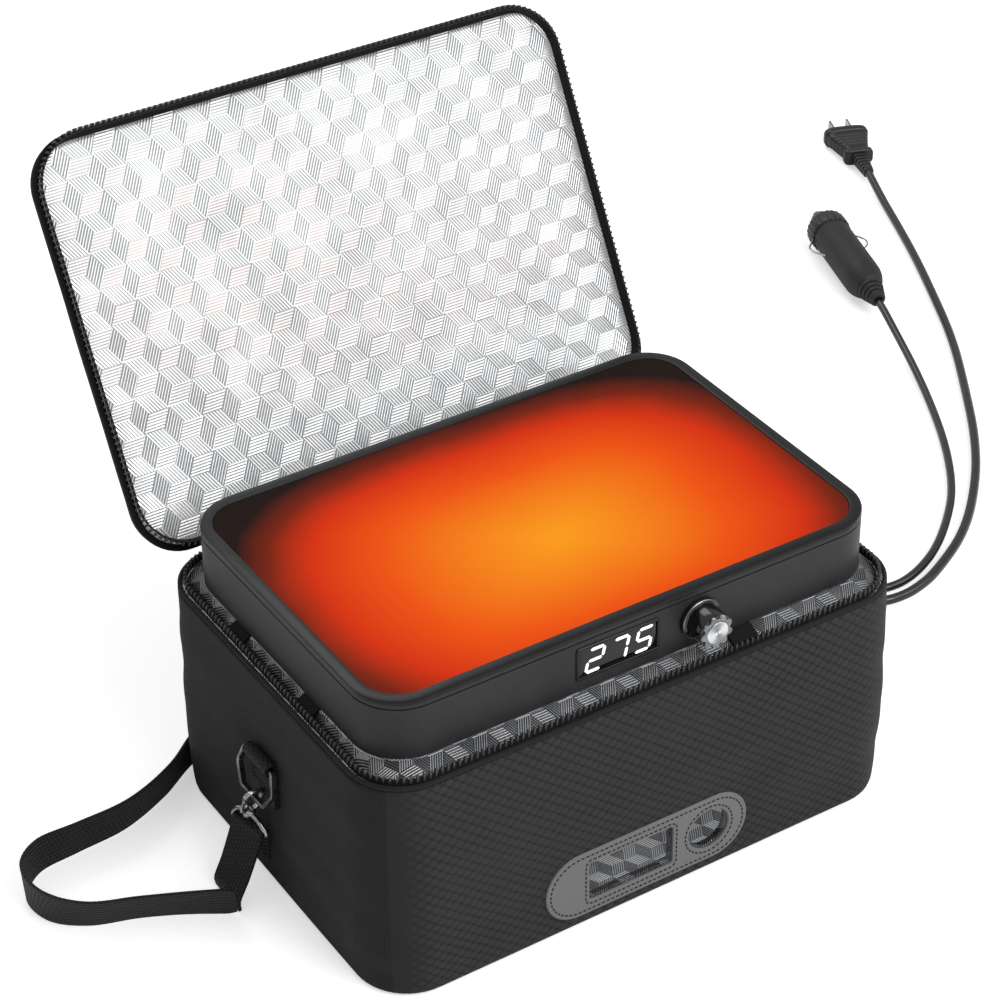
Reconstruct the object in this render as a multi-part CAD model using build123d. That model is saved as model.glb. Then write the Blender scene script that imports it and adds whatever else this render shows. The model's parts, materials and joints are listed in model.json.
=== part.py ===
from build123d import *
import math
import os

# Portable food warmer, millimetres, +Z up.
# Origin: centre of the bag's underside. The front, with the display and the knob, faces -Y.

# Driving sizes of the bag
BAG_LENGTH = 310.0
BAG_DEPTH = 220.0
BAG_HEIGHT = 130.0
BAG_CORNER = 30.0
THROUGH = 5.0
FABRIC = 1.4
FOAM = 3.6
FOIL = 0.8
BASE_BOARD = 2.5
BASE_FOAM = 5.0
PIPING = 2.6
PANEL_MARGIN = 1.0
FRONT_PANEL_LENGTH = BAG_LENGTH - 2 * (BAG_CORNER + PANEL_MARGIN)
HEM = 1.0

# Driving sizes of the zipper
TAPE = 1.0
TAPE_HEIGHT = 3.4
TEETH_WIDTH = 2.2
TEETH_HEIGHT = 1.6
TEETH_SET_IN = 3.6
SLIDER_LENGTH = 9.0
SLIDER_WALL = 0.9
SLIDER_GAP = 0.45
SLIDER_PARK = 72.0
PULLER_LENGTH = 22.0
PULLER_WIDTH = 6.0
PULLER = 1.2
PULLER_PIN = 0.8

# Driving sizes of the lid
LID_OVERHANG = 1.0
LID_SHORTER = 2.0
LID_LENGTH = BAG_LENGTH + 2 * LID_OVERHANG
LID_DEPTH = BAG_DEPTH - LID_SHORTER
LID_OPEN_ANGLE = 119.0
LID_CORNER_TIGHTER = 4.0
LID_CORNER = BAG_CORNER - LID_CORNER_TIGHTER
LID_FOAM = 4.0
LID_TEETH_GAP = 2.6
HINGE_BEHIND = 0.5
HINGE_RISE = 3.0
HINGE_Y = BAG_DEPTH / 2 + HINGE_BEHIND
HINGE_Z = BAG_HEIGHT + HINGE_RISE
HINGE_STRIP_SET_IN = 7.0
HINGE_STRIP_LENGTH = BAG_LENGTH - 2 * (BAG_CORNER + HINGE_STRIP_SET_IN)
HINGE_STRIP = 2.0
HINGE_LAP = 5.0
HINGE_DIP = 1.5

# Driving sizes of the heating unit
HEATER_SIDE_ROOM = 10.0
HEATER_END_ROOM = 14.0
HEATER_LENGTH = BAG_LENGTH - 2 * HEATER_SIDE_ROOM
HEATER_DEPTH = BAG_DEPTH - 2 * HEATER_END_ROOM
HEATER_HEIGHT = 33.5
HEATER_CORNER_TIGHTER = 4.0
HEATER_CORNER = BAG_CORNER - HEATER_CORNER_TIGHTER
HEATER_RAISE = 6.1
HOUSING_WALL = 2.2
GROOVE = 0.8
GROOVE_BELOW_TOP = 4.2
BEZEL_WIDTH = 6.5
BEZEL = 2.4
PLATE = 1.6
PLATE_BELOW_BEZEL = 0.5
ELEMENT = 0.8
INSULATION = 6.5
BOTTOM_COVER = 2.0
FOOT_RADIUS = 7.0
FOOT_HEIGHT = 1.8
FOOT_INSET = 26.0
SCREW_RADIUS = 2.0
SCREW_HEAD_RADIUS = 3.6
SCREW_HEAD = 1.6
SCREW_LENGTH = 9.0
SCREW_BOSS_RADIUS = 5.0
ELEMENT_MARGIN = 8.0
SENSOR_RADIUS = 5.0
SENSOR_HEIGHT = 6.0
BOARD_LENGTH = 84.0
BOARD_HEIGHT = 19.0
BOARD = 1.6

# Driving sizes of the display and the knob
DISPLAY_X = -14.0
DISPLAY_LENGTH = 48.0
DISPLAY_HEIGHT = 19.0
DISPLAY_FRAME = 1.6
DISPLAY_PROUD = 0.8
LENS = 1.2
CONTROL_Z = 16.0
BOARD_GAP = 7.0
KNOB_X = 33.0
SKIRT_RADIUS = 11.0
SKIRT = 3.0
GRIP_RADIUS = 9.5
GRIP = 11.0
STAR_RADIUS = 9.0
STAR = 1.4
STAR_LOBES = 9
STAR_NOTCH = 1.6
CAP_RADIUS = 6.2
CAP = 0.6
POT_RADIUS = 6.0
SHAFT_RADIUS = 3.0
SHAFT_CLEARANCE = 0.08
RUNNING_GAP = 0.3

# Driving sizes of the front patch
PATCH_X = -4.0
PATCH_LENGTH = 121.0
PATCH_HEIGHT = 40.0
PATCH = 0.9
WINDOW_LENGTH = 50.0
WINDOW_HEIGHT = 24.0
FILM = 0.5
HOLE_CLEARANCE = 1.2

# Driving sizes of the webbing tabs that steady the heating unit
TAB_WIDTH = 15.0
TAB = 1.6
TAB_MIDDLE_Y = 2.5
TAB_SPREAD = 68.0
FRONT_TAB_X = 57.0
TAB_FOLD = 5.0
TAB_UNDER = 6.0
TAB_OUT = 0.5

# Driving sizes of the strap and its metal fittings
STRAP_WIDTH = 25.0
STRAP = 1.8
STRAP_LIFT = 0.2
RING_WIRE = 3.2
RING_BELOW_RIM = 46.0
RING_TOP_Z = BAG_HEIGHT - RING_BELOW_RIM
RING_HEIGHT = 21.5
RING_TOP_WIDTH = 27.0
RING_MIDDLE_WIDTH = 34.0
RING_BOTTOM_WIDTH = 22.0
RING_STAND_OFF = 4.2
RING_LEAN = 12.0
RING_TAB = 1.8
RING_TAB_WIDTH = 23.0
RING_TAB_DROP = 26.0
HOOK_WIRE = 2.6
HOOK_INSIDE = 7.0
HOOK_HEIGHT = 14.0
HOOK_LEAN = 22.0
GATE_WIRE = 2.0
GATE_BELOW_RING = 1.4
BARREL_RADIUS = 3.2
BARREL_HEIGHT = 5.5
PIN_RADIUS = 1.2
D_RING_WIRE = 2.6
D_RING_WIDTH = 30.0
D_RING_HEIGHT = 12.0

# Driving sizes of the cords and their plugs
AC_CORD = 5.6
CAR_CORD = 5.0
PORT_Y = 60.0
PORT_Z = 34.0
PORT_SPACING = 14.0
PORT_HEIGHT = 18.0
PORT_LENGTH = 34.0
PORT_CORNER = 6.0
PORT = 3.0
PORT_NOSE = 22.0
INNER_LEAD_REACH = 62.0
PORT_NOSE_WALL = 2.0
PORT_NOSE_TAPER = 1.0
AC_RELIEF = 24.0
AC_COLLAR = 5.0
AC_BODY = 25.0
AC_FACE = 6.0
AC_WIDTH = 32.0
AC_HEIGHT = 15.0
AC_RELIEF_WIDTH = 11.2
AC_RELIEF_HEIGHT = 9.0
AC_COLLAR_WIDTH = 21.4
AC_GRIP_START = 16.0
AC_GRIP_END = 30.0
AC_GRIP_HEIGHT = 12.5
BLADE_LENGTH = 17.0
BLADE_HEIGHT = 6.3
BLADE = 1.5
BLADE_SPACING = 12.7
CAR_RELIEF = 18.0
CAR_SHOULDER = 10.0
CAR_BODY = 60.0
CAR_RADIUS = 13.0
CAR_NUT = 13.0
CAR_NUT_RADIUS = 14.2
CAR_NOSE = 12.0
CAR_NOSE_RADIUS = 9.0
CAR_NOSE_END_RADIUS = 6.0
CAR_BORE = 6.6
CAR_BORE_DEPTH = 32.0
CAR_TIP = 7.0
CAR_TIP_RADIUS = 3.0
CONTACT_WIRE = 1.2
CONTACT_LENGTH = 24.0
CONTACT_BULGE = 7.0
CONTACT_SLOPE = 7.2

os.makedirs("parts", exist_ok=True)


# Small helpers

def save(name, shape):
    """Write one named piece."""
    shape.label = name
    export_step(shape, f"parts/{name}.step")
    print(name, "volume", round(shape.volume, 1))


def slab(length, depth, corner, height, z=0.0):
    """Rounded rectangular slab centred on the origin, from z upwards."""
    outline = RectangleRounded(length, depth, corner)
    return Pos(0, 0, z) * extrude(outline, height)


def wall(length, depth, corner, thickness, z_low, z_high):
    """Upright wall that follows a rounded rectangle, thickness inwards."""
    height = z_high - z_low
    outer = slab(length, depth, corner, height, z_low)
    inner = slab(length - 2 * thickness, depth - 2 * thickness, corner - thickness, height, z_low)
    return outer - inner


def block(x_low, x_high, y_low, y_high, z_low, z_high):
    """Box between two corners."""
    centre = Pos((x_low + x_high) / 2, (y_low + y_high) / 2, (z_low + z_high) / 2)
    return centre * Box(x_high - x_low, y_high - y_low, z_high - z_low)


def along_y(radius, y_low, y_high, x, z):
    """Cylinder along Y."""
    return Pos(x, (y_low + y_high) / 2, z) * Rot(90, 0, 0) * Cylinder(radius, y_high - y_low)


def along_z(radius, z_low, z_high, x, y):
    """Cylinder along Z."""
    return Pos(x, y, (z_low + z_high) / 2) * Cylinder(radius, z_high - z_low)


def route_wire(points):
    """Straight runs joined by arcs as large as their runs allow, with the arc radii."""
    vectors = [Vector(*point) for point in points]
    radii = []
    for before, corner, after in zip(vectors, vectors[1:], vectors[2:]):
        run_in = corner - before
        run_out = after - corner
        half_turn = math.radians(run_in.get_angle(run_out)) / 2
        radii.append(0.45 * min(run_in.length, run_out.length) / math.tan(half_turn))
    return FilletPolyline(*vectors, radius=radii), radii


def tube(name, points, diameter):
    """Round tube along a route, with its volume checked against its length."""
    path, radii = route_wire(points)
    section = Plane(origin=path @ 0, z_dir=path % 0) * Circle(diameter / 2)
    solid = sweep(section, path=path)
    expected = math.pi * diameter ** 2 / 4 * path.length
    print(name, "length", round(path.length, 1), "smallest radius", round(min(radii), 1))
    print(name, "radii", [round(radius, 1) for radius in radii])
    print(name, "volume over section times length", round(solid.volume / expected, 4))
    return solid


# Levels and planes worked out from the driving sizes
CAVITY = FABRIC + FOAM + FOIL
WALL_TOP = BAG_HEIGHT - HEM
FOAM_BASE_Z = FABRIC + BASE_BOARD
FOIL_BASE_Z = FOAM_BASE_Z + BASE_FOAM
FLOOR_TOP = FOIL_BASE_Z + FOIL
FRONT_Y = -BAG_DEPTH / 2
PANEL_HALF = FRONT_PANEL_LENGTH / 2
TEETH_Z = BAG_HEIGHT + TAPE_HEIGHT
TRACK_SIDE_X = BAG_LENGTH / 2 - TEETH_SET_IN - TAPE / 2
HEATER_BOTTOM = BAG_HEIGHT + HEATER_RAISE
HEATER_TOP = HEATER_BOTTOM + HEATER_HEIGHT
HEATER_FRONT = -HEATER_DEPTH / 2
CONTROL_LEVEL = HEATER_BOTTOM + CONTROL_Z
LIFT_TRAVEL = HEATER_BOTTOM - FOOT_HEIGHT - FLOOR_TOP - RUNNING_GAP
WINDOW_LEVEL = CONTROL_LEVEL - LIFT_TRAVEL
KNOB_HOLE_RADIUS = SKIRT_RADIUS + HOLE_CLEARANCE
LID_TEETH_Z = TEETH_Z + TEETH_HEIGHT + LID_TEETH_GAP
LID_TAPE_Z = LID_TEETH_Z + TEETH_HEIGHT
LID_FACE_Z = LID_TAPE_Z + TAPE_HEIGHT
LID_TOP_Z = LID_FACE_Z + FOIL + LID_FOAM + FABRIC
LID_CENTRE_Y = HINGE_Y - LID_DEPTH / 2
print("lift travel", round(LIFT_TRAVEL, 2), "window level", round(WINDOW_LEVEL, 2))
print("heater bottom", HEATER_BOTTOM, "control level", CONTROL_LEVEL, "lid top closed", round(LID_TOP_Z, 2))


# Bag

def wrap(set_in, thickness, z_low, z_high):
    """Bag wall at a depth from the outside, without its front panel."""
    length = BAG_LENGTH - 2 * set_in
    depth = BAG_DEPTH - 2 * set_in
    ring = wall(length, depth, BAG_CORNER - set_in, thickness, z_low, z_high)
    front = block(-PANEL_HALF, PANEL_HALF, FRONT_Y - THROUGH, FRONT_Y + CAVITY + THROUGH, z_low, z_high)
    return ring - front


def front_layer(set_in, thickness, z_low):
    """One flat layer of the front panel, with the window and the knob hole."""
    near = FRONT_Y + set_in
    layer = block(-PANEL_HALF, PANEL_HALF, near, near + thickness, z_low, WALL_TOP)
    return layer - front_holes()


def front_holes():
    """Window and knob hole, through every layer of the front."""
    half_window = WINDOW_LENGTH / 2
    half_height = WINDOW_HEIGHT / 2
    reach_low = FRONT_Y - THROUGH
    reach_high = FRONT_Y + CAVITY + THROUGH
    window = block(DISPLAY_X - half_window, DISPLAY_X + half_window, reach_low, reach_high,
                   WINDOW_LEVEL - half_height, WINDOW_LEVEL + half_height)
    hole = along_y(KNOB_HOLE_RADIUS, reach_low, reach_high, KNOB_X, WINDOW_LEVEL)
    return Compound([window, hole])


def zip_track(thickness, z_low, z_high):
    """Three-sided strip along the zipper's line, open along the hinge."""
    set_in = TEETH_SET_IN + (TAPE - thickness) / 2
    length = BAG_LENGTH - 2 * set_in
    depth = BAG_DEPTH - 2 * set_in
    ring = wall(length, depth, BAG_CORNER - set_in, thickness, z_low, z_high)
    rear = block(-HINGE_STRIP_LENGTH / 2, HINGE_STRIP_LENGTH / 2, 0, BAG_DEPTH / 2, z_low, z_high)
    return ring - rear


def bag_shell():
    """Outer fabric, board, foam and foil of the bag."""
    base = slab(BAG_LENGTH, BAG_DEPTH, BAG_CORNER, FABRIC)
    save("outer_fabric", base + wrap(0, FABRIC, FABRIC, WALL_TOP))
    save("front_fabric", front_layer(0, FABRIC, FABRIC))
    save("wall_foam", wrap(FABRIC, FOAM, FABRIC, WALL_TOP))
    save("front_foam", front_layer(FABRIC, FOAM, FABRIC))
    inner_length = BAG_LENGTH - 2 * (FABRIC + FOAM)
    inner_depth = BAG_DEPTH - 2 * (FABRIC + FOAM)
    inner_corner = BAG_CORNER - FABRIC - FOAM
    save("base_board", slab(inner_length, inner_depth, inner_corner, BASE_BOARD, FABRIC))
    save("base_foam", slab(inner_length, inner_depth, inner_corner, BASE_FOAM, FOAM_BASE_Z))
    foil_base = slab(inner_length, inner_depth, inner_corner, FOIL, FOIL_BASE_Z)
    save("foil_liner", foil_base + wrap(FABRIC + FOAM, FOIL, FLOOR_TOP, WALL_TOP))
    save("front_foil", front_layer(FABRIC + FOAM, FOIL, FLOOR_TOP))


def bag_trim():
    """Piping, zipper half, patch and window film."""
    save("rim_piping", wall(BAG_LENGTH, BAG_DEPTH, BAG_CORNER, PIPING, WALL_TOP, WALL_TOP + PIPING))
    save("bag_zipper_tape", zip_track(TAPE, WALL_TOP, TEETH_Z))
    save("bag_zipper_teeth", zip_track(TEETH_WIDTH, TEETH_Z, TEETH_Z + TEETH_HEIGHT))
    outline = Plane.XZ * SlotOverall(PATCH_LENGTH, PATCH_HEIGHT)
    patch = Pos(PATCH_X, FRONT_Y, WINDOW_LEVEL) * extrude(outline, PATCH)
    save("front_patch", patch - front_holes())
    half_window = WINDOW_LENGTH / 2
    half_height = WINDOW_HEIGHT / 2
    film = block(DISPLAY_X - half_window, DISPLAY_X + half_window, FRONT_Y, FRONT_Y + FILM,
                 WINDOW_LEVEL - half_height, WINDOW_LEVEL + half_height)
    save("window_film", film)


def tab_profile():
    """Section of a webbing tab, in distance out from the heating unit's side and height."""
    seat = HEATER_BOTTOM - RUNNING_GAP
    foot = WALL_TOP - TAB_FOLD
    gap = (BAG_DEPTH - HEATER_DEPTH) / 2 - CAVITY
    return gap, [(-TAB_UNDER, seat), (TAB_OUT, seat), (gap, seat - TAB_FOLD), (gap, foot), (gap - TAB, foot),
                 (gap - TAB, seat - TAB_FOLD - TAB), (-TAB_OUT, seat - TAB), (-TAB_UNDER, seat - TAB)]


def support_tabs():
    """Webbing tabs that steady the heating unit over the bag."""
    side_gap = (BAG_LENGTH - HEATER_LENGTH) / 2 - CAVITY
    front_gap, profile = tab_profile()
    side_points = [(-HEATER_LENGTH / 2 - min(out, out * side_gap / front_gap), z) for out, z in profile]
    side_face = Plane.XZ * make_face(Polyline(*side_points, close=True))
    side = extrude(side_face, TAB_WIDTH / 2, both=True)
    front_points = [(-HEATER_FRONT + out, z) for out, z in profile]
    front_face = Plane.XZ * make_face(Polyline(*front_points, close=True))
    front = Rot(0, 0, -90) * extrude(front_face, TAB_WIDTH / 2, both=True)
    tabs = [Pos(0, TAB_MIDDLE_Y - TAB_SPREAD / 2, 0) * side, Pos(0, TAB_MIDDLE_Y + TAB_SPREAD / 2, 0) * side,
            Pos(FRONT_TAB_X, 0, 0) * front]
    save("support_tabs", Compound(tabs))


# Lid, drawn shut and then swung open about the hinge line

def opened(shape):
    """Swing a shut-lid shape back to the open rest pose."""
    to_hinge = Pos(0, HINGE_Y, HINGE_Z)
    back = Pos(0, -HINGE_Y, -HINGE_Z)
    return to_hinge * Rot(-LID_OPEN_ANGLE, 0, 0) * back * shape


def lid_slab(set_in, height, z):
    """Slab of the lid's outline, set in from its edge."""
    length = LID_LENGTH - 2 * set_in
    depth = LID_DEPTH - 2 * set_in
    return Pos(0, LID_CENTRE_Y, 0) * slab(length, depth, LID_CORNER - set_in, height, z)


def lid_pieces():
    """Cover, foam, foil, binding and zipper half of the lid."""
    filling_height = FOIL + LID_FOAM
    filling = lid_slab(FABRIC, filling_height, LID_FACE_Z)
    save("lid_cover", opened(lid_slab(0, filling_height + FABRIC, LID_FACE_Z) - filling))
    save("lid_foam", opened(lid_slab(FABRIC, LID_FOAM, LID_FACE_Z + FOIL)))
    save("lid_foil", opened(lid_slab(FABRIC, FOIL, LID_FACE_Z)))
    tape = zip_track(TAPE, LID_TAPE_Z, LID_FACE_Z)
    window = slab(BAG_LENGTH - 2 * TEETH_SET_IN, BAG_DEPTH - 2 * TEETH_SET_IN, BAG_CORNER - TEETH_SET_IN,
                  HEM, LID_FACE_Z - HEM)
    save("lid_binding", opened(lid_slab(0, HEM, LID_FACE_Z - HEM) - window))
    save("lid_zipper_tape", opened(tape))
    save("lid_zipper_teeth", opened(zip_track(TEETH_WIDTH, LID_TEETH_Z, LID_TAPE_Z)))


def hinge_pieces():
    """Fabric strip from the bag's rear rim to the lid's rear edge."""
    turn = math.radians(LID_OPEN_ANGLE)
    rise = LID_FACE_Z - HEM - HINGE_Z
    edge_y = HINGE_Y + rise * math.sin(turn)
    edge_z = HINGE_Z + rise * math.cos(turn)
    rim_y = BAG_DEPTH / 2
    rim_z = WALL_TOP + PIPING
    end_y = edge_y - RUNNING_GAP
    end_z = edge_z - HINGE_DIP
    points = [(rim_y - HINGE_LAP, rim_z), (rim_y + RUNNING_GAP, rim_z), (end_y, end_z),
              (end_y, end_z + HINGE_STRIP), (rim_y + 1, rim_z + HINGE_STRIP),
              (rim_y - HINGE_LAP, rim_z + HINGE_STRIP)]
    face = Plane.YZ * make_face(Polyline(*points, close=True))
    save("hinge_strip", extrude(face, HINGE_STRIP_LENGTH / 2 - 2, both=True))


# Heating unit

def screw_places():
    """Places of the housing screws, each beside a side wall."""
    side = HEATER_LENGTH / 2 - HOUSING_WALL - SCREW_BOSS_RADIUS + 1
    end = HEATER_DEPTH / 2 - HOUSING_WALL - SCREW_BOSS_RADIUS + 1
    along = HEATER_DEPTH / 4
    across = HEATER_LENGTH / 4
    places = []
    for sign in (-1, 1):
        for other in (-1, 1):
            places.append((sign * side, other * along))
            places.append((sign * across, other * end))
    return places


def housing():
    """Housing wall with its screw bosses and groove, and the openings of the controls."""
    top = HEATER_TOP - BEZEL
    shell = wall(HEATER_LENGTH, HEATER_DEPTH, HEATER_CORNER, HOUSING_WALL, HEATER_BOTTOM, top)
    inside = slab(HEATER_LENGTH - HOUSING_WALL, HEATER_DEPTH - HOUSING_WALL,
                  HEATER_CORNER - HOUSING_WALL / 2, HEATER_HEIGHT, HEATER_BOTTOM)
    boss_top = HEATER_BOTTOM + BOTTOM_COVER + SCREW_LENGTH
    for x, y in screw_places():
        shell += along_z(SCREW_BOSS_RADIUS, HEATER_BOTTOM + BOTTOM_COVER, boss_top, x, y) & inside
    groove_top = HEATER_TOP - GROOVE_BELOW_TOP
    shell -= wall(HEATER_LENGTH + 1, HEATER_DEPTH + 1, HEATER_CORNER + 0.5, GROOVE + 0.5,
                  groove_top - GROOVE, groove_top)
    for x, y in screw_places():
        shell -= along_z(SCREW_RADIUS, HEATER_BOTTOM, boss_top - 1, x, y)
    lens_half = DISPLAY_LENGTH / 2 - DISPLAY_FRAME
    lens_rise = DISPLAY_HEIGHT / 2 - DISPLAY_FRAME
    shell -= block(DISPLAY_X - lens_half, DISPLAY_X + lens_half, HEATER_FRONT - 1,
                   HEATER_FRONT + HOUSING_WALL + 1, CONTROL_LEVEL - lens_rise, CONTROL_LEVEL + lens_rise)
    shell -= along_y(SHAFT_RADIUS + RUNNING_GAP, HEATER_FRONT - 1, HEATER_FRONT + HOUSING_WALL + 1,
                     KNOB_X, CONTROL_LEVEL)
    save("heater_housing", shell)


def bottom_pieces():
    """Bottom cover, its screws and its rubber feet."""
    gap = RUNNING_GAP / 2
    length = HEATER_LENGTH - 2 * (HOUSING_WALL + gap)
    depth = HEATER_DEPTH - 2 * (HOUSING_WALL + gap)
    cover = slab(length, depth, HEATER_CORNER - HOUSING_WALL - gap, BOTTOM_COVER, HEATER_BOTTOM)
    screws = []
    for x, y in screw_places():
        shank_top = HEATER_BOTTOM + SCREW_LENGTH
        shank = along_z(SCREW_RADIUS, HEATER_BOTTOM + SCREW_HEAD, shank_top, x, y)
        head = along_z(SCREW_HEAD_RADIUS, HEATER_BOTTOM, HEATER_BOTTOM + SCREW_HEAD, x, y)
        screws.append(shank + head)
        cover -= along_z(SCREW_RADIUS + gap, HEATER_BOTTOM, HEATER_BOTTOM + BOTTOM_COVER, x, y)
        cover -= along_z(SCREW_HEAD_RADIUS + gap, HEATER_BOTTOM, HEATER_BOTTOM + SCREW_HEAD + gap, x, y)
    save("bottom_cover", cover)
    save("housing_screws", Compound(screws))
    foot_x = HEATER_LENGTH / 2 - FOOT_INSET
    foot_y = HEATER_DEPTH / 2 - FOOT_INSET
    feet = [along_z(FOOT_RADIUS, HEATER_BOTTOM - FOOT_HEIGHT, HEATER_BOTTOM, x, y)
            for x in (-foot_x, foot_x) for y in (-foot_y, foot_y)]
    save("rubber_feet", Compound(feet))


def hot_pieces():
    """Bezel, heating plate, element, insulation and temperature sensor."""
    save("top_bezel", wall(HEATER_LENGTH, HEATER_DEPTH, HEATER_CORNER, BEZEL_WIDTH,
                           HEATER_TOP - BEZEL, HEATER_TOP))
    gap = RUNNING_GAP / 2
    length = HEATER_LENGTH - 2 * (BEZEL_WIDTH + gap)
    depth = HEATER_DEPTH - 2 * (BEZEL_WIDTH + gap)
    corner = HEATER_CORNER - BEZEL_WIDTH - gap
    plate_z = HEATER_TOP - PLATE_BELOW_BEZEL - PLATE
    save("heating_plate", slab(length, depth, corner, PLATE, plate_z))
    element_z = plate_z - ELEMENT
    margin = 2 * ELEMENT_MARGIN
    save("heating_element", slab(length - margin, depth - margin, corner, ELEMENT, element_z))
    filling_z = element_z - INSULATION
    inner_length = HEATER_LENGTH - 2 * (HOUSING_WALL + gap)
    inner_depth = HEATER_DEPTH - 2 * (HOUSING_WALL + gap)
    filling = slab(inner_length, inner_depth, HEATER_CORNER - HOUSING_WALL - gap, INSULATION, filling_z)
    pocket = along_z(SENSOR_RADIUS + gap, filling_z, element_z, 0, 0)
    save("insulation_pad", filling - pocket)
    save("temperature_sensor", along_z(SENSOR_RADIUS, element_z - SENSOR_HEIGHT, element_z, 0, 0))


def control_pieces():
    """Display, control board and the potentiometer behind the knob."""
    half = DISPLAY_LENGTH / 2
    rise = DISPLAY_HEIGHT / 2
    lens_half = half - DISPLAY_FRAME
    lens_rise = rise - DISPLAY_FRAME
    frame = block(DISPLAY_X - half, DISPLAY_X + half, HEATER_FRONT - DISPLAY_PROUD, HEATER_FRONT,
                  CONTROL_LEVEL - rise, CONTROL_LEVEL + rise)
    opening = block(DISPLAY_X - lens_half, DISPLAY_X + lens_half, HEATER_FRONT - DISPLAY_PROUD,
                    HEATER_FRONT, CONTROL_LEVEL - lens_rise, CONTROL_LEVEL + lens_rise)
    save("display_bezel", frame - opening)
    gap = RUNNING_GAP / 2
    lens = block(DISPLAY_X - lens_half + gap, DISPLAY_X + lens_half - gap, HEATER_FRONT,
                 HEATER_FRONT + LENS, CONTROL_LEVEL - lens_rise + gap, CONTROL_LEVEL + lens_rise - gap)
    save("display_lens", lens)
    board_y = HEATER_FRONT + HOUSING_WALL + BOARD_GAP
    module = block(DISPLAY_X - lens_half + gap, DISPLAY_X + lens_half - gap, HEATER_FRONT + LENS,
                   board_y, CONTROL_LEVEL - lens_rise + gap, CONTROL_LEVEL + lens_rise - gap)
    save("display_module", module)
    board_z = HEATER_BOTTOM + BOTTOM_COVER
    board_x = (DISPLAY_X + KNOB_X) / 2
    save("control_board", block(board_x - BOARD_LENGTH / 2, board_x + BOARD_LENGTH / 2, board_y,
                                board_y + BOARD, board_z, board_z + BOARD_HEIGHT))
    pot = along_y(POT_RADIUS, HEATER_FRONT + HOUSING_WALL, board_y, KNOB_X, CONTROL_LEVEL)
    bore = along_y(SHAFT_RADIUS + SHAFT_CLEARANCE, HEATER_FRONT + HOUSING_WALL, board_y - 1,
                   KNOB_X, CONTROL_LEVEL)
    save("potentiometer", pot - bore)


def knob_pieces():
    """Knob with its skirt, star ring, bright cap and shaft."""
    back = HEATER_FRONT - RUNNING_GAP
    skirt_face = back - SKIRT
    grip_face = skirt_face - GRIP
    shaft_end = HEATER_FRONT + HOUSING_WALL + BOARD_GAP - 1 - RUNNING_GAP
    body = along_y(SKIRT_RADIUS, skirt_face, back, KNOB_X, CONTROL_LEVEL)
    body += along_y(GRIP_RADIUS, grip_face, skirt_face, KNOB_X, CONTROL_LEVEL)
    body += along_y(SHAFT_RADIUS, back, shaft_end, KNOB_X, CONTROL_LEVEL)
    save("knob_body", body)
    star_face = grip_face - STAR
    star = along_y(STAR_RADIUS, star_face, grip_face, KNOB_X, CONTROL_LEVEL)
    for lobe in range(STAR_LOBES):
        turn = 2 * math.pi * lobe / STAR_LOBES
        notch_x = KNOB_X + STAR_RADIUS * math.sin(turn)
        notch_z = CONTROL_LEVEL + STAR_RADIUS * math.cos(turn)
        star -= along_y(STAR_NOTCH, star_face - 1, grip_face, notch_x, notch_z)
    star -= along_y(CAP_RADIUS, star_face, grip_face, KNOB_X, CONTROL_LEVEL)
    save("knob_star", star)
    save("knob_cap", along_y(CAP_RADIUS, star_face - CAP, grip_face, KNOB_X, CONTROL_LEVEL))


def inner_lead():
    """Power lead inside the bag, from the cord port up to the heating unit."""
    start_x = BAG_LENGTH / 2 - CAVITY
    end_x = start_x - INNER_LEAD_REACH
    points = [(start_x, PORT_Y, PORT_Z), (end_x, PORT_Y, PORT_Z),
              (end_x - AC_CORD, PORT_Y, HEATER_BOTTOM - RUNNING_GAP)]
    save("inner_lead", tube("inner_lead", points, AC_CORD))


# Zipper slider, parked at the right rear end of the track

def slider_pieces():
    """Slider that wraps the teeth, and its hanging puller."""
    half_gap = TEETH_WIDTH / 2 + SLIDER_GAP
    half = half_gap + SLIDER_WALL
    low = TEETH_Z - SLIDER_GAP - SLIDER_WALL
    high = TEETH_Z + TEETH_HEIGHT + SLIDER_GAP + SLIDER_WALL
    y_low = SLIDER_PARK - SLIDER_LENGTH / 2
    y_high = SLIDER_PARK + SLIDER_LENGTH / 2
    body = block(TRACK_SIDE_X - half, TRACK_SIDE_X + half, y_low, y_high, low, high)
    body -= block(TRACK_SIDE_X - half_gap, TRACK_SIDE_X + half_gap, y_low, y_high,
                  low + SLIDER_WALL, high - SLIDER_WALL)
    slot = TAPE / 2 + SLIDER_GAP
    body -= block(TRACK_SIDE_X - slot, TRACK_SIDE_X + slot, y_low, y_high, low, low + SLIDER_WALL)
    pin_x = BAG_LENGTH / 2 + PULLER + RUNNING_GAP + SLIDER_GAP
    pin_z = (low + high) / 2
    lug_y = PULLER_WIDTH / 2 + RUNNING_GAP
    for near in (SLIDER_PARK - lug_y - SLIDER_WALL, SLIDER_PARK + lug_y):
        body += block(TRACK_SIDE_X + half, pin_x + PULLER_PIN, near, near + SLIDER_WALL,
                      pin_z - PULLER_PIN, pin_z + PULLER_PIN)
    body += along_y(PULLER_PIN, SLIDER_PARK - lug_y, SLIDER_PARK + lug_y, pin_x, pin_z)
    save("zipper_slider", body)
    eye = PULLER_PIN + RUNNING_GAP + PULLER / 2
    puller = along_y(eye, SLIDER_PARK - PULLER_WIDTH / 2, SLIDER_PARK + PULLER_WIDTH / 2, pin_x, pin_z)
    puller += block(pin_x - PULLER / 2, pin_x + PULLER / 2, SLIDER_PARK - PULLER_WIDTH / 2,
                    SLIDER_PARK + PULLER_WIDTH / 2, pin_z - PULLER_LENGTH, pin_z)
    puller -= along_y(PULLER_PIN + RUNNING_GAP / 2, y_low, y_high, pin_x, pin_z)
    save("zipper_puller", puller)
    print("puller pin x", round(pin_x, 2), "z", round(pin_z, 2))


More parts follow.
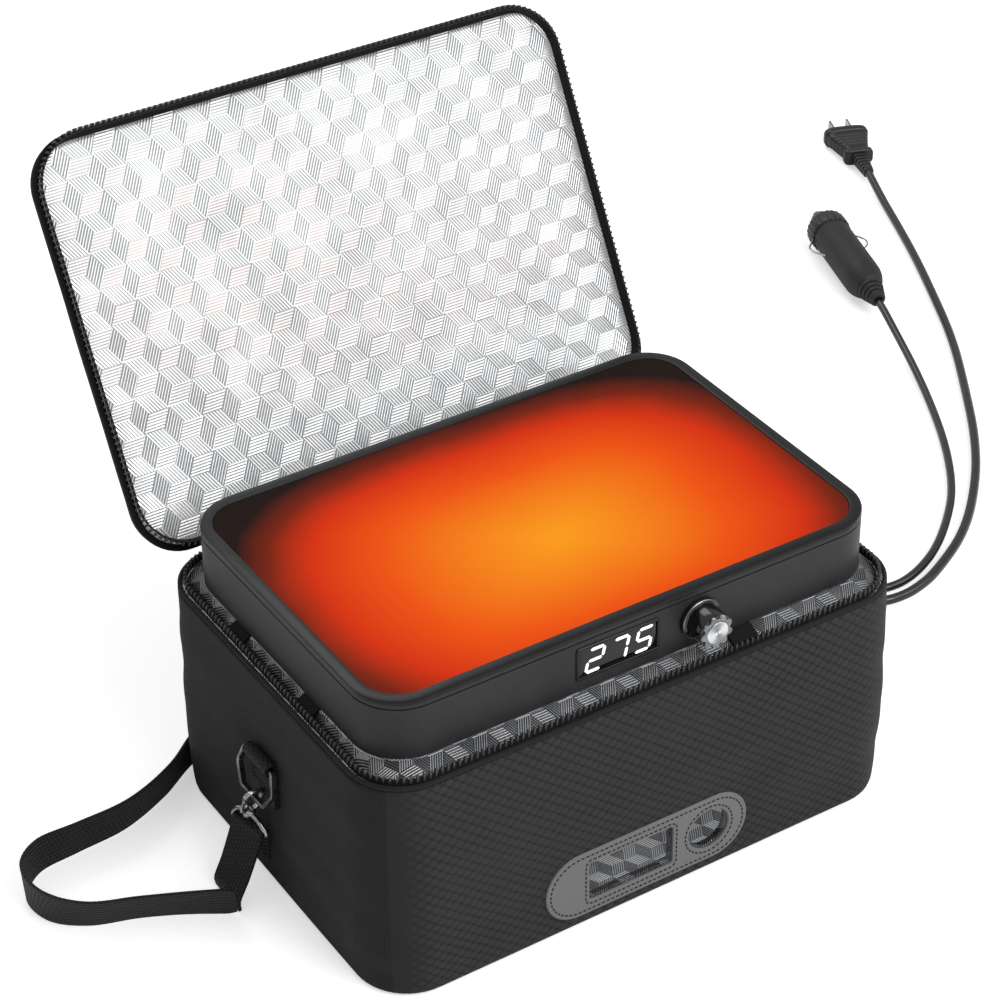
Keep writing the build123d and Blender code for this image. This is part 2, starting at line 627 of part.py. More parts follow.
# Rings, snap hooks and strap

def rod(start, end, radius):
    """Round rod between two points."""
    first = Vector(*start)
    last = Vector(*end)
    direction = last - first
    return Plane(origin=first, z_dir=direction) * Pos(0, 0, direction.length / 2) * \
        Cylinder(radius, direction.length)


def wire_shape(points, radius, closed=False):
    """Round wire through corner points, with a ball at each corner."""
    ends = points[1:] + points[:1] if closed else points[1:]
    shape = None
    for start, end in zip(points, ends):
        piece = rod(start, end, radius)
        shape = piece if shape is None else shape + piece
    for point in points:
        shape += Pos(*point) * Sphere(radius)
    return shape


def ring_frame(sign):
    """Place of the ring's top bar, and the ring's outward lean."""
    pivot_x = sign * (BAG_LENGTH / 2 + RING_STAND_OFF)
    return pivot_x, Pos(pivot_x, 0, RING_TOP_Z) * Rot(0, -sign * RING_LEAN, 0)


def hook_frame(sign):
    """Place of the ring's bottom bar, where the hook hangs, with the hook's lean."""
    lean = math.radians(RING_LEAN)
    x = sign * (BAG_LENGTH / 2 + RING_STAND_OFF + RING_HEIGHT * math.sin(lean))
    z = RING_TOP_Z - RING_HEIGHT * math.cos(lean)
    return x, z, Pos(x, 0, z) * Rot(HOOK_LEAN, 0, 0)


def ring_piece(side, sign):
    """Six-sided ring that hangs from its webbing tab."""
    place = ring_frame(sign)[1]
    half_top = RING_TOP_WIDTH / 2
    half_middle = RING_MIDDLE_WIDTH / 2
    half_bottom = RING_BOTTOM_WIDTH / 2
    corners = [(0, -half_top, 0), (0, half_top, 0), (0, half_middle, -RING_HEIGHT / 2),
               (0, half_bottom, -RING_HEIGHT), (0, -half_bottom, -RING_HEIGHT),
               (0, -half_middle, -RING_HEIGHT / 2)]
    save(f"{side}_ring", place * wire_shape(corners, RING_WIRE / 2, closed=True))


def ring_tab(sign):
    """Webbing tab sewn on the wall, looped round the ring's top bar."""
    pivot_x = ring_frame(sign)[0]
    face = sign * BAG_LENGTH / 2
    outer = face + sign * RING_TAB
    half_tab = RING_TAB_WIDTH / 2
    loop_bore = RING_WIRE / 2 + RUNNING_GAP
    loop = along_y(loop_bore + RING_TAB, -half_tab, half_tab, pivot_x, RING_TOP_Z)
    loop += block(min(face, outer), max(face, outer), -half_tab, half_tab,
                  RING_TOP_Z - RING_TAB_DROP, RING_TOP_Z + loop_bore)
    loop += block(min(face, pivot_x), max(face, pivot_x), -half_tab, half_tab,
                  RING_TOP_Z + loop_bore, RING_TOP_Z + loop_bore + RING_TAB)
    loop -= block(-BAG_LENGTH / 2, BAG_LENGTH / 2, -half_tab, half_tab, 0, BAG_HEIGHT)
    return loop - along_y(loop_bore, -half_tab, half_tab, pivot_x, RING_TOP_Z)


def hook_levels():
    """Heights of the hook's wire and barrel, from the ring's bottom bar."""
    top = RING_WIRE / 2 + RUNNING_GAP + HOOK_WIRE / 2
    bottom = top - HOOK_HEIGHT - HOOK_WIRE
    return top, bottom, bottom - BARREL_HEIGHT


def hook_pieces(side, sign):
    """Snap hook and its sprung gate, hung on the ring's bottom bar."""
    x, z, place = hook_frame(sign)
    wire = HOOK_WIRE / 2
    top, bottom, barrel_bottom = hook_levels()
    reach = sign * (HOOK_INSIDE / 2 + wire)
    corner = sign * HOOK_INSIDE / 2
    gate_top = -RING_WIRE / 2 - GATE_BELOW_RING
    gate_bottom = bottom + wire + GATE_WIRE / 2 + RUNNING_GAP
    nose_end = gate_top + GATE_WIRE / 2 + RUNNING_GAP + wire
    points = [(reach, 0, nose_end), (reach, 0, top - wire), (corner, 0, top), (-corner, 0, top),
              (-reach, 0, top - wire), (-reach, 0, bottom + wire), (-corner, 0, bottom), (reach, 0, bottom)]
    hook = wire_shape(points, wire)
    hook += along_z(BARREL_RADIUS, barrel_bottom, bottom, 0, 0)
    hook -= along_z(PIN_RADIUS + SHAFT_CLEARANCE, barrel_bottom, bottom - 1, 0, 0)
    save(f"{side}_snap_hook", place * hook)
    gate = rod((reach, 0, gate_bottom), (reach, 0, gate_top), GATE_WIRE / 2)
    gate += Pos(reach, 0, gate_bottom) * Sphere(GATE_WIRE / 2)
    save(f"{side}_hook_gate", place * gate)
    gate_pin = (place * Pos(reach, 0, gate_bottom)).position
    print(side, "hook pivot", round(x, 2), round(z, 2), "gate pin", gate_pin)


def d_ring(sign):
    """D-ring on the strap's end, with the pin that swivels in the hook's barrel."""
    place = hook_frame(sign)[2]
    bottom, barrel_bottom = hook_levels()[1:]
    arc_top = barrel_bottom - RUNNING_GAP - D_RING_WIRE / 2
    shoulder = arc_top - D_RING_HEIGHT / 3
    foot = arc_top - D_RING_HEIGHT
    half = D_RING_WIDTH / 2 - D_RING_WIRE / 2
    points = [(0, -half, foot), (0, -half, shoulder), (0, -half / 2, arc_top), (0, half / 2, arc_top),
              (0, half, shoulder), (0, half, foot)]
    ring = wire_shape(points, D_RING_WIRE / 2, closed=True)
    return place * (ring + along_z(PIN_RADIUS, arc_top, bottom - 1 - RUNNING_GAP, 0, 0))


STRAP_ROUTE = [(-186, -7), (-204, 6), (-224, 16), (-247, 24), (-263, 38), (-266, 58), (-252, 73),
               (-228, 76), (-200, 79), (-172, 91), (-148, 106), (-118, 118), (-60, 123), (0, 125),
               (60, 124), (118, 120), (150, 106), (176, 84), (190, 56), (193, 26), (188, 6)]


def strap_end(sign, near):
    """End of the strap, from its D-ring's bar down to the floor."""
    under_bar = hook_levels()[2] - 2 * RUNNING_GAP - D_RING_WIRE - D_RING_HEIGHT
    top = hook_frame(sign)[2] * Pos(0, 0, under_bar) * Rectangle(STRAP, STRAP_WIDTH)
    foot = Pos(near[0], near[1] + STRAP_WIDTH / 2, STRAP_LIFT) * Rectangle(STRAP, STRAP_WIDTH)
    return loft([foot, top])


def shoulder_strap():
    """Webbing strap that stands on edge on the floor, from one D-ring round to the other."""
    path, radii = route_wire([(x, y, STRAP_LIFT) for x, y in STRAP_ROUTE])
    upright = Plane(origin=path @ 0, z_dir=path % 0, x_dir=(0, 0, 1))
    strap = sweep(upright * Pos(STRAP_WIDTH / 2, 0) * Rectangle(STRAP_WIDTH, STRAP), path=path)
    strap += strap_end(-1, STRAP_ROUTE[0])
    strap += strap_end(1, STRAP_ROUTE[-1])
    print("strap length on the floor", round(path.length, 1), "smallest radius", round(min(radii), 1))
    save("shoulder_strap", strap)


# Cords and plugs. The routes are chosen by hand.

AC_Y = PORT_Y - PORT_SPACING / 2
CAR_Y = PORT_Y + PORT_SPACING / 2
PORT_END = BAG_LENGTH / 2 + PORT + PORT_NOSE
AC_FLOOR = AC_CORD / 2 + 0.1
CAR_FLOOR = CAR_CORD / 2 + 0.1
AC_ROUTE = [(PORT_END, AC_Y, PORT_Z), (200, 51, 31.5), (216, 43, 18), (228, 31.5, 6.5), (238, 21.5, AC_FLOOR),
            (248, 15, AC_FLOOR), (260, 13.2, AC_FLOOR), (272, 14.5, AC_FLOOR), (290, 20, AC_FLOOR), (332, 43, AC_FLOOR), (373, 82, AC_FLOOR),
            (402, 118, AC_FLOOR), (428, 157, AC_FLOOR), (462.5, 211, AC_FLOOR), (491, 268, AC_FLOOR),
            (511.5, 311, AC_FLOOR), (530.5, 355.5, AC_FLOOR), (541, 383, 4.2), (552, 411, AC_HEIGHT / 2)]
CAR_ROUTE = [(PORT_END, CAR_Y, PORT_Z), (200, 65, 31.5), (216, 57, 18), (228, 45.5, 6), (238, 35, CAR_FLOOR),
             (248, 27.5, CAR_FLOOR), (259, 24, CAR_FLOOR), (271, 24, CAR_FLOOR), (287, 29, CAR_FLOOR),
             (306, 39, CAR_FLOOR), (328, 56, CAR_FLOOR), (353, 80, CAR_FLOOR),
             (379, 117.5, CAR_FLOOR), (401, 158, CAR_FLOOR), (419, 197, 4), (433, 237, 9.5),
             (441, 262, CAR_NUT_RADIUS)]
CAR_END = (450.14, 290.57, CAR_NUT_RADIUS)


def cord_port():
    """Moulded port on the bag's right wall, with a strain relief for each cord."""
    x = BAG_LENGTH / 2
    outline = RectangleRounded(PORT_HEIGHT, PORT_LENGTH, PORT_CORNER)
    plate = Pos(x, PORT_Y, PORT_Z) * Rot(0, 90, 0) * extrude(outline, PORT)
    for y, diameter in ((AC_Y, AC_CORD), (CAR_Y, CAR_CORD)):
        middle = diameter / 2 + PORT_NOSE_WALL
        nose = Cone(middle + PORT_NOSE_TAPER, middle - PORT_NOSE_TAPER, PORT_NOSE)
        plate += Pos(x + PORT + PORT_NOSE / 2, y, PORT_Z) * Rot(0, 90, 0) * nose
    save("cord_port", plate)


def lying(route, shape):
    """Put a piece drawn along +X at the end of a route, in the route's floor direction."""
    before = Vector(*route[-2])
    end = Vector(*route[-1])
    heading = math.degrees(math.atan2(end.Y - before.Y, end.X - before.X))
    return Pos(end.X, end.Y, end.Z) * Rot(0, 0, heading) * shape


def along_x(radius, x_low, x_high):
    """Cylinder along X on the piece's own axis."""
    return Pos((x_low + x_high) / 2, 0, 0) * Rot(0, 90, 0) * Cylinder(radius, x_high - x_low)


def cone_x(radius_low, radius_high, x_low, x_high):
    """Cone along X on the piece's own axis."""
    return Pos((x_low + x_high) / 2, 0, 0) * Rot(0, 90, 0) * Cone(radius_low, radius_high, x_high - x_low)


def plug_block(x_low, x_high, width, height):
    """Box along the plug's own axis."""
    return block(x_low, x_high, -width / 2, width / 2, -height / 2, height / 2)


def ac_plug():
    """Flat two-blade plug with its relief, collar, tapered grip and face."""
    body = plug_block(0, AC_RELIEF, AC_RELIEF_WIDTH, AC_RELIEF_HEIGHT)
    collar_x = AC_RELIEF + AC_COLLAR
    body += plug_block(AC_RELIEF, collar_x, AC_COLLAR_WIDTH, AC_GRIP_HEIGHT)
    face_x = collar_x + AC_BODY
    points = [(collar_x, -AC_GRIP_START / 2), (face_x, -AC_GRIP_END / 2), (face_x, AC_GRIP_END / 2),
              (collar_x, AC_GRIP_START / 2)]
    body += extrude(make_face(Polyline(*points, close=True)), AC_GRIP_HEIGHT / 2, both=True)
    body += plug_block(face_x, face_x + AC_FACE, AC_WIDTH, AC_HEIGHT)
    save("ac_plug_body", lying(AC_ROUTE, body))
    tip_x = face_x + AC_FACE + BLADE_LENGTH
    blades = [block(face_x + AC_FACE, tip_x, y - BLADE / 2, y + BLADE / 2, -BLADE_HEIGHT / 2, BLADE_HEIGHT / 2)
              for y in (-BLADE_SPACING / 2, BLADE_SPACING / 2)]
    save("ac_plug_blades", lying(AC_ROUTE, Compound(blades)))


def car_plug():
    """Car socket plug: relief, body, ribbed nut with its nose, and the metal contacts."""
    shoulder_x = CAR_RELIEF + CAR_SHOULDER
    body_x = shoulder_x + CAR_BODY
    body = cone_x(CAR_CORD / 2 + PORT_NOSE_WALL, CAR_NOSE_RADIUS, 0, CAR_RELIEF)
    body += cone_x(CAR_NOSE_RADIUS, CAR_RADIUS, CAR_RELIEF, shoulder_x)
    body += along_x(CAR_RADIUS, shoulder_x, body_x)
    body -= along_x(CAR_BORE / 2, 0, CAR_BORE_DEPTH)
    save("car_plug_body", lying(CAR_ROUTE, body))
    nut_x = body_x + CAR_NUT
    nose_x = nut_x + CAR_NOSE
    nut = along_x(CAR_NUT_RADIUS, body_x, nut_x)
    nut += cone_x(CAR_NOSE_RADIUS, CAR_NOSE_END_RADIUS, nut_x, nose_x)
    save("car_plug_nut", lying(CAR_ROUTE, nut))
    contacts = [along_x(CAR_TIP_RADIUS, nose_x, nose_x + CAR_TIP)]
    back_x = body_x - CONTACT_LENGTH
    for sign in (-1, 1):
        y = sign * (CAR_RADIUS + CONTACT_WIRE)
        bulge = sign * (CAR_RADIUS + CONTACT_BULGE)
        points = [(back_x, y, 0), (back_x + CONTACT_SLOPE, bulge, 0),
                  (back_x + 2 * CONTACT_SLOPE, bulge, 0), (body_x - 1, y, 0)]
        contacts.append(wire_shape(points, CONTACT_WIRE / 2))
    save("car_plug_contacts", lying(CAR_ROUTE, Compound(contacts)))


bag_shell()
bag_trim()
support_tabs()
lid_pieces()
hinge_pieces()
housing()
bottom_pieces()
hot_pieces()
control_pieces()
knob_pieces()
inner_lead()
slider_pieces()
for side, sign in (("left", -1), ("right", 1)):
    ring_piece(side, sign)
    hook_pieces(side, sign)
save("ring_tabs", Compound([ring_tab(-1), ring_tab(1)]))
save("d_rings", Compound([d_ring(-1), d_ring(1)]))
shoulder_strap()
cord_port()
save("ac_cord", tube("ac_cord", AC_ROUTE, AC_CORD))
save("car_cord", tube("car_cord", CAR_ROUTE + [CAR_END], CAR_CORD))
ac_plug()
car_plug()
print("heater face", HEATER_FRONT, "knob axis", KNOB_X, CONTROL_LEVEL)
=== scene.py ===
"""Looks of a portable food warmer: soft insulated bag, zip lid, electric heating unit, strap and cords.

Shapes are drawn in millimetres in the shared frame, and Shape.done turns them to metres.
"""

import json
import logging
import math
from dataclasses import dataclass
from enum import Enum
from typing import Callable, Iterable, Optional, Sequence

import bmesh
import bpy
from mathutils import Matrix, Vector, noise

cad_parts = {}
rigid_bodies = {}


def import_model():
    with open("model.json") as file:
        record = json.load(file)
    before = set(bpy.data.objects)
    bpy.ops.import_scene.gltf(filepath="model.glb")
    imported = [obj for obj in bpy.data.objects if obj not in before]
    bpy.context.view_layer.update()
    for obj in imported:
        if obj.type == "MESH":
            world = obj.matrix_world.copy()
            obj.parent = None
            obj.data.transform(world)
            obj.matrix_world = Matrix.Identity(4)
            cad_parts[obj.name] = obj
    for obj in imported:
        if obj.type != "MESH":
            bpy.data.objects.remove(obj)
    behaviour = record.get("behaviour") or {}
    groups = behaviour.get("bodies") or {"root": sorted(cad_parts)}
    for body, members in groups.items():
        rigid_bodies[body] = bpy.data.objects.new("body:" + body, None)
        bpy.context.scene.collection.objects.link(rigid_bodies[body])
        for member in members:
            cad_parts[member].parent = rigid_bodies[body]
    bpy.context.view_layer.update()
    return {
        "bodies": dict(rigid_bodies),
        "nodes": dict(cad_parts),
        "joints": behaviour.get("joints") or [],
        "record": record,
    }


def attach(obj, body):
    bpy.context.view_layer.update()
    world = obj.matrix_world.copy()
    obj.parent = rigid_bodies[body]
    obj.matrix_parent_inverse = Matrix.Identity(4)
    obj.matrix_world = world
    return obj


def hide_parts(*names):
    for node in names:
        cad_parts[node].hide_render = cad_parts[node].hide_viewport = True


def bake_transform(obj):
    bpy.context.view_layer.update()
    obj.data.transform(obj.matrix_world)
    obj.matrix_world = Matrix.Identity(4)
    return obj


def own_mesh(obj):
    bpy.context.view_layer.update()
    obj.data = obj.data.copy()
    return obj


log = logging.getLogger("food_warmer")

MM = 0.001
Point = Sequence[float]
Rows = list[list[Vector]]
Pairs = Sequence[tuple[float, float]]
Socket = bpy.types.NodeSocket
Adder = Callable[..., Socket]
Piece = bpy.types.Object
X, Y, Z = (Vector(row) for row in Matrix.Identity(3))


def srgb(hex_colour: str) -> tuple[float, float, float, float]:
    """Turn six sRGB hex digits after a hash into linear red, green and blue, and an alpha of 1."""
    channels = [int(hex_colour[i:i + 2], 16) / 255 for i in (1, 3, 5)]
    linear = [c / 12.92 if c <= 0.04045 else ((c + 0.055) / 1.055) ** 2.4 for c in channels]
    return (linear[0], linear[1], linear[2], 1.0)


class Nodes:
    """Writer for one node tree of a material, the world or a repeat."""

    def __init__(self, tree: bpy.types.NodeTree) -> None:
        """Keep the tree, emptied."""
        self.tree = tree
        tree.nodes.clear()

    def add(self, kind: str, inputs: object = (), out: object = 0, stops: Optional[dict[float, str]] = None,
            curve: str = "EASE", **settings: object) -> Optional[Socket]:
        """Add a node with its settings and links.

        Args:
            kind: Blender's identifier of the node type, or the operation of an arithmetic node.
            inputs: Values, or output sockets to link from, in order or by socket name.
            out: Name or index of the output to give.
            stops: Positions and sRGB hex colours of a colour ramp.
            curve: How the ramp runs from stop to stop.
            settings: Attributes of the node.

        Returns:
            The output, where the node has one.
        """
        if kind.isupper():
            kind, settings = "ShaderNodeMath", {"operation": kind}
        node = self.tree.nodes.new(kind)
        for name, value in settings.items():
            setattr(node, name, value)
        for key, value in inputs.items() if isinstance(inputs, dict) else enumerate(inputs):
            if isinstance(value, Socket):
                self.tree.links.new(value, node.inputs[key])
            else:
                node.inputs[key].default_value = value
        if stops:
            node.color_ramp.interpolation = curve
            elements = node.color_ramp.elements
            while len(elements) < len(stops):
                elements.new(0.5)
            for element, (place, colour) in zip(elements, stops.items()):
                element.position, element.color = place, srgb(colour)
        return node.outputs[out] if node.outputs else None


def bell(add: Adder, value: Socket, period: float) -> Socket:
    """Give a wave from 0 to 1 along a coordinate, one crest per period."""
    return add("MULTIPLY_ADD", [add("SINE", [add("MULTIPLY", [value, 2 * math.pi / period])]), 0.5, 0.5])


def mottle(add: Adder, scale: float, detail: float = 2.0) -> Socket:
    """Give an irregular tone fixed to the piece, with about this many patches to the metre."""
    spot = add("ShaderNodeTexCoord", out="Object")
    return add("ShaderNodeTexNoise", {"Vector": spot, "Scale": scale, "Detail": detail})


def look(add: Adder, tone: Socket, stops: dict[float, str], height: Socket, strength: float, distance: float,
         inputs: dict[str, object]) -> dict[str, object]:
    """Complete a shader's inputs with its colour and its relief.

    Args:
        add: Writer of nodes.
        tone: Tone of each place, from 0 to 1.
        stops: Colours along the tone.
        height: Height of the relief at each place.
        strength: How strongly the relief shows.
        distance: Height of the relief, in metres.
        inputs: The other inputs.

    Returns:
        All inputs.
    """
    return {"Base Color": add("ShaderNodeValToRGB", [tone], stops=stops), **inputs,
            "Normal": add("ShaderNodeBump", {"Height": height, "Strength": strength, "Distance": distance})}


class Surface(Enum):
    """Ways the plane of a flat pattern can lie."""

    XZ = "front and back walls"
    YZ = "side walls"
    XY = "floor and lid"
    UV = "the piece's own map, in metres"

    def coordinates(self, add: Adder) -> list[Socket]:
        """Give the two pattern coordinates, in metres."""
        mapped = self is Surface.UV
        spot = add("ShaderNodeTexCoord", out="UV" if mapped else "Object")
        return [add("ShaderNodeSeparateXYZ", [spot], axis) for axis in ("XY" if mapped else self.name)]


# Finishes. The scales of uneven tones are in patches to the metre. Threads, ribs, hatching and tool grain are drawn
# about twice as coarse as the real ones, which would be too fine to show.

HEAT_CLOUD = 9.0
HAND_WEAR = 14.0
FLOW_SHADE = 30.0
FILM_CRINKLE = 38.0
FILM_RIPPLE = 60.0
POLISH_HAZE = 180.0
DIFFUSER_MOTTLE = 800.0
FINE_GRAIN = 900.0
FIBRE_FUZZ = 1500.0


@dataclass(frozen=True)
class Finish:
    """One finish of the product. Subclasses draw their own pattern."""

    name: str

    def draw(self, add: Adder) -> dict[str, object]:
        """Write the finish's own nodes and give the inputs of its shader."""
        return {}

    def shader(self, add: Adder) -> Socket:
        """Write the finish's shader."""
        return add("ShaderNodeBsdfPrincipled", self.draw(add))

    def material(self) -> bpy.types.Material:
        """Build the finish once and give its material."""
        material = bpy.data.materials.get(self.name)
        if not material:
            material = bpy.data.materials.new(self.name)
            material.use_nodes = True
            add = Nodes(material.node_tree).add
            add("ShaderNodeOutputMaterial", {"Surface": self.shader(add)})
        return material


@dataclass(frozen=True)
class WovenPolyester(Finish):
    """Woven polyester with a coated back: fine plain weave, dull, with a soft sheen at grazing angles."""

    dark: str = "#121213"
    light: str = "#1d1d1f"
    thread: float = 0.9 * MM
    cell_wide: float = 0.0
    cell_high: float = 0.0
    relief: float = 0.25 * MM
    surface: Surface = Surface.XZ
    plain_from: float = 0.0
    plain_fade: float = 16 * MM

    def draw(self, add: Adder) -> dict[str, object]:
        """Draw the weave, with raised diamonds where the cloth has them."""
        across, up = self.surface.coordinates(add)
        if self.cell_wide:
            height = self.diamonds(add, across, up)
        else:
            height = add("MULTIPLY", [bell(add, across, self.thread), bell(add, up, self.thread)])
        # Tone is a wear mottle plus painted light: a painted highlight on the raised threads and diamonds, and painted
        # shade between them
        wear_and_crest_light = add("MULTIPLY", [add("MULTIPLY_ADD", [mottle(add, HAND_WEAR, 3.0), 0.35, height]), 0.75])
        fuzzy = add("MULTIPLY_ADD", [mottle(add, FIBRE_FUZZ), 0.15, height])
        return look(add, wear_and_crest_light, {0.1: self.dark, 0.85: self.light}, fuzzy, 0.8, self.relief, {
            "Roughness": 0.78, "Specular IOR Level": 0.25, "Sheen Weight": 0.05, "Sheen Roughness": 0.4})

    def diamonds(self, add: Adder, across: Socket, up: Socket) -> Socket:
        """Give the height of a dobby weave of small raised diamonds, each thread bundle as wide as its cell."""
        cells = [add("DIVIDE", [across, self.cell_wide]), add("DIVIDE", [up, self.cell_high])]
        both = add("MULTIPLY", [bell(add, add(step, cells), 1.0) for step in ("ADD", "SUBTRACT")])
        raised = add("POWER", [both, 0.22])
        if self.plain_from:
            away = add("SUBTRACT", [add("ABSOLUTE", [across]), self.plain_from])
            share = add("ShaderNodeMath", [away, 1 / self.plain_fade], operation="MULTIPLY", use_clamp=True)
            raised = add("MULTIPLY_ADD", [share, add("SUBTRACT", [0.42, raised]), raised])
        return add("MULTIPLY_ADD", [bell(add, up, self.thread), 0.12, raised])


@dataclass(frozen=True)
class EmbossedFoil(Finish):
    """Aluminised film on foam: bright, with a pattern of hatched rhombi pressed into it."""

    base: str = "#c9cbcd"
    edge: float = 11.0 * MM
    hatch: float = 1.5 * MM
    surface: Surface = Surface.XZ
    # Strength of painted light: emission that stands in for light bounced onto the film from round about
    glow: float = 0.0
    low: str = "#85888b"
    high: str = "#ffffff"
    relief: float = 0.45 * MM

    def draw(self, add: Adder) -> dict[str, object]:
        """Draw the rhombi and the film's crinkles, and painted light where the copy has a glow."""
        height, shade = self.rhombi(add)
        crinkle = mottle(add, FILM_CRINKLE, 4.0)
        tone = add("MULTIPLY_ADD", [crinkle, 0.3, shade])
        pressed = add("MULTIPLY_ADD", [crinkle, 1.6, height])
        inputs = look(add, tone, {0.15: self.low, 0.45: self.base, 0.8: self.high}, pressed, 0.7, self.relief, {
            "Metallic": 0.85, "Roughness": 0.36})
        # Painted light: the film's own colour emitted, standing in for bounced light
        if self.glow:
            inputs |= {"Emission Color": inputs["Base Color"], "Emission Strength": self.glow}
        return inputs

    def rhombi(self, add: Adder) -> list[Socket]:
        """Give the height of the hatching and a tone for each rhombus, in three kinds hatched their own way."""
        across, up = self.surface.coordinates(add)
        spacing = self.edge * math.sqrt(3) / 2
        lines = [add("ADD", [add("MULTIPLY", [across, math.cos(turn) / spacing]),
                             add("MULTIPLY", [up, math.sin(turn) / spacing])])
                 for turn in (math.radians(90.0), math.radians(210.0), math.radians(330.0))]
        floors = [add("FLOOR", [line]) for line in lines]
        down = add("LESS_THAN", [add("ADD", [add("ADD", floors[:2]), floors[2]]), -1.5])
        upright = add("SUBTRACT", [1.0, down])
        third = add("FLOORED_MODULO", [add("SUBTRACT", floors[:2]), 3.0])
        zero, one, two = [add("COMPARE", [third, step, 0.3]) for step in (0.0, 1.0, 2.0)]
        kinds = [add("ADD", [add("MULTIPLY", [first, upright]), add("MULTIPLY", [second, down])])
                 for first, second in ((zero, two), (two, zero))] + [one]
        parts = [add("MULTIPLY", [kinds[k], bell(add, lines[(k + 1) % 3], self.hatch / spacing)]) for k in range(3)]
        tones = [add("MULTIPLY", [kind, tone]) for kind, tone in zip(kinds, (0.0, 0.5, 1.0))]
        height, shade = [add("ADD", [add("ADD", three[:2]), three[2]]) for three in (parts, tones)]
        return [height, add("ADD", [add("MULTIPLY", [shade, 0.16]), add("MULTIPLY", [height, 0.4])])]


@dataclass(frozen=True)
class RibbedWebbing(Finish):
    """Nylon webbing: rows of ribs across the band, black with a dull shine on each rib."""

    dark: str = "#060607"
    light: str = "#161618"
    rib: float = 2.4 * MM
    bundle: float = 2.4 * MM
    relief: float = 0.5 * MM

    def draw(self, add: Adder) -> dict[str, object]:
        """Draw ribs across the band and thread bundles along it."""
        across, along = Surface.UV.coordinates(add)
        half_step = add("MULTIPLY", [add("ROUND", [add("DIVIDE", [across, self.bundle])]), 0.5])
        ribs = bell(add, add("ADD", [add("DIVIDE", [along, self.rib]), half_step]), 1.0)
        height = add("MULTIPLY", [ribs, add("POWER", [bell(add, across, self.bundle), 0.5])])
        return look(add, height, {0.05: self.dark, 0.95: self.light}, height, 0.9, self.relief, {
            "Roughness": 0.6, "Specular IOR Level": 0.3, "Sheen Weight": 0.04})


@dataclass(frozen=True)
class Moulded(Finish):
    """Moulded plastic or rubber: fine grain from the tool, slight shade changes, gloss set by the polish."""

    dark: str = "#141415"
    light: str = "#1c1c1e"
    roughness: float = 0.45
    grain: float = 0.7 * MM
    relief: float = 0.02 * MM
    coat: float = 0.0
    gloss: float = 0.5

    def draw(self, add: Adder) -> dict[str, object]:
        """Draw the tool grain and a slow change of shade."""
        grain, slow = mottle(add, 1 / self.grain, 3.0), mottle(add, FLOW_SHADE)
        mixed = add("MULTIPLY_ADD", [grain, 0.5, add("MULTIPLY", [slow, 0.5])])
        return look(add, mixed, {0.3: self.dark, 0.7: self.light}, grain, 0.6, self.relief, {
            "Roughness": add("MULTIPLY_ADD", [slow, 0.16, self.roughness - 0.08]),
            "Specular IOR Level": self.gloss, "Coat Weight": self.coat, "Coat Roughness": 0.05})


@dataclass(frozen=True)
class PlatedMetal(Finish):
    """Plated steel or zinc: mirror-like with faint polishing haze and small dull spots."""

    dark: str = "#8d8f92"
    light: str = "#c4c6c9"
    roughness: float = 0.2
    brushed: float = 0.2
    relief: float = 0.02 * MM

    def draw(self, add: Adder) -> dict[str, object]:
        """Draw the haze and the brushing lines."""
        haze = mottle(add, POLISH_HAZE, 4.0)
        return look(add, haze, {0.3: self.dark, 0.7: self.light}, mottle(add, FINE_GRAIN), self.brushed, self.relief, {
            "Metallic": 1.0, "Roughness": add("MULTIPLY_ADD", [haze, 0.2, self.roughness - 0.1])})


@dataclass(frozen=True)
class TurnedDisc(Finish):
    """Aluminium turned on a lathe: fine rings that catch the light in two fans."""

    centre: tuple[float, float, float] = (0.0, 0.0, 0.0)
    pitch: float = 0.35 * MM
    relief: float = 0.03 * MM
    dark: str = "#8f9194"
    light: str = "#f2f3f4"

    def draw(self, add: Adder) -> dict[str, object]:
        """Draw the tool rings round the centre and the bright and dark fans."""
        offset = add("ShaderNodeVectorMath", [add("ShaderNodeTexCoord", out="Object"), self.centre],
                     operation="SUBTRACT")
        rings = bell(add, add("ShaderNodeVectorMath", [offset], "Value", operation="LENGTH"), self.pitch)
        angle = add("ARCTAN2", [add("ShaderNodeSeparateXYZ", [offset], axis) for axis in "ZX"])
        fans = bell(add, add("ADD", [angle, 0.5]), math.pi)
        tone = add("MULTIPLY_ADD", [rings, 0.25, add("MULTIPLY", [fans, 0.7])])
        return look(add, tone, {0.05: self.dark, 0.9: self.light}, rings, 0.5, self.relief, {
            "Metallic": 1.0, "Roughness": 0.28})


@dataclass(frozen=True)
class HotPlate(Finish):
    """Dark ceramic-coated aluminium plate at working heat: it glows orange in the middle and stays dark at the rim."""

    half_length: float = 147.0 * MM
    half_depth: float = 110.0 * MM
    hot_front: float = 24.0 * MM
    strength: float = 0.95
    roundness: float = 3.0
    relief: float = 0.03 * MM

    def draw(self, add: Adder) -> dict[str, object]:
        """Draw the coating's grain and the glow that fades to the rim and corners."""
        x, y = Surface.XY.coordinates(add)
        back = add("ADD", [y, self.hot_front])
        shares = [add("DIVIDE", [x, self.half_length]), add("DIVIDE", [back, self.half_depth])]
        powers = [add("POWER", [add("ABSOLUTE", [share]), self.roundness]) for share in shares]
        edge = add("POWER", [add("ADD", powers), 1 / self.roundness])
        heat = add("MULTIPLY_ADD", [mottle(add, HEAT_CLOUD, 4.0), 0.14, add("SUBTRACT", [1.0, edge])])
        glow = add("ShaderNodeValToRGB", [heat], curve="LINEAR", stops={
            0.0: "#1c0f0c", 0.12: "#7a2006", 0.26: "#d83000", 0.5: "#f25400", 1.0: "#ff9c14"})
        grain = mottle(add, FINE_GRAIN)
        return look(add, grain, {0.3: "#0b0908", 0.7: "#120f0e"}, grain, 0.3, self.relief, {
            "Roughness": 0.6, "Specular IOR Level": 0.04, "Emission Color": glow,
            "Emission Strength": self.strength})


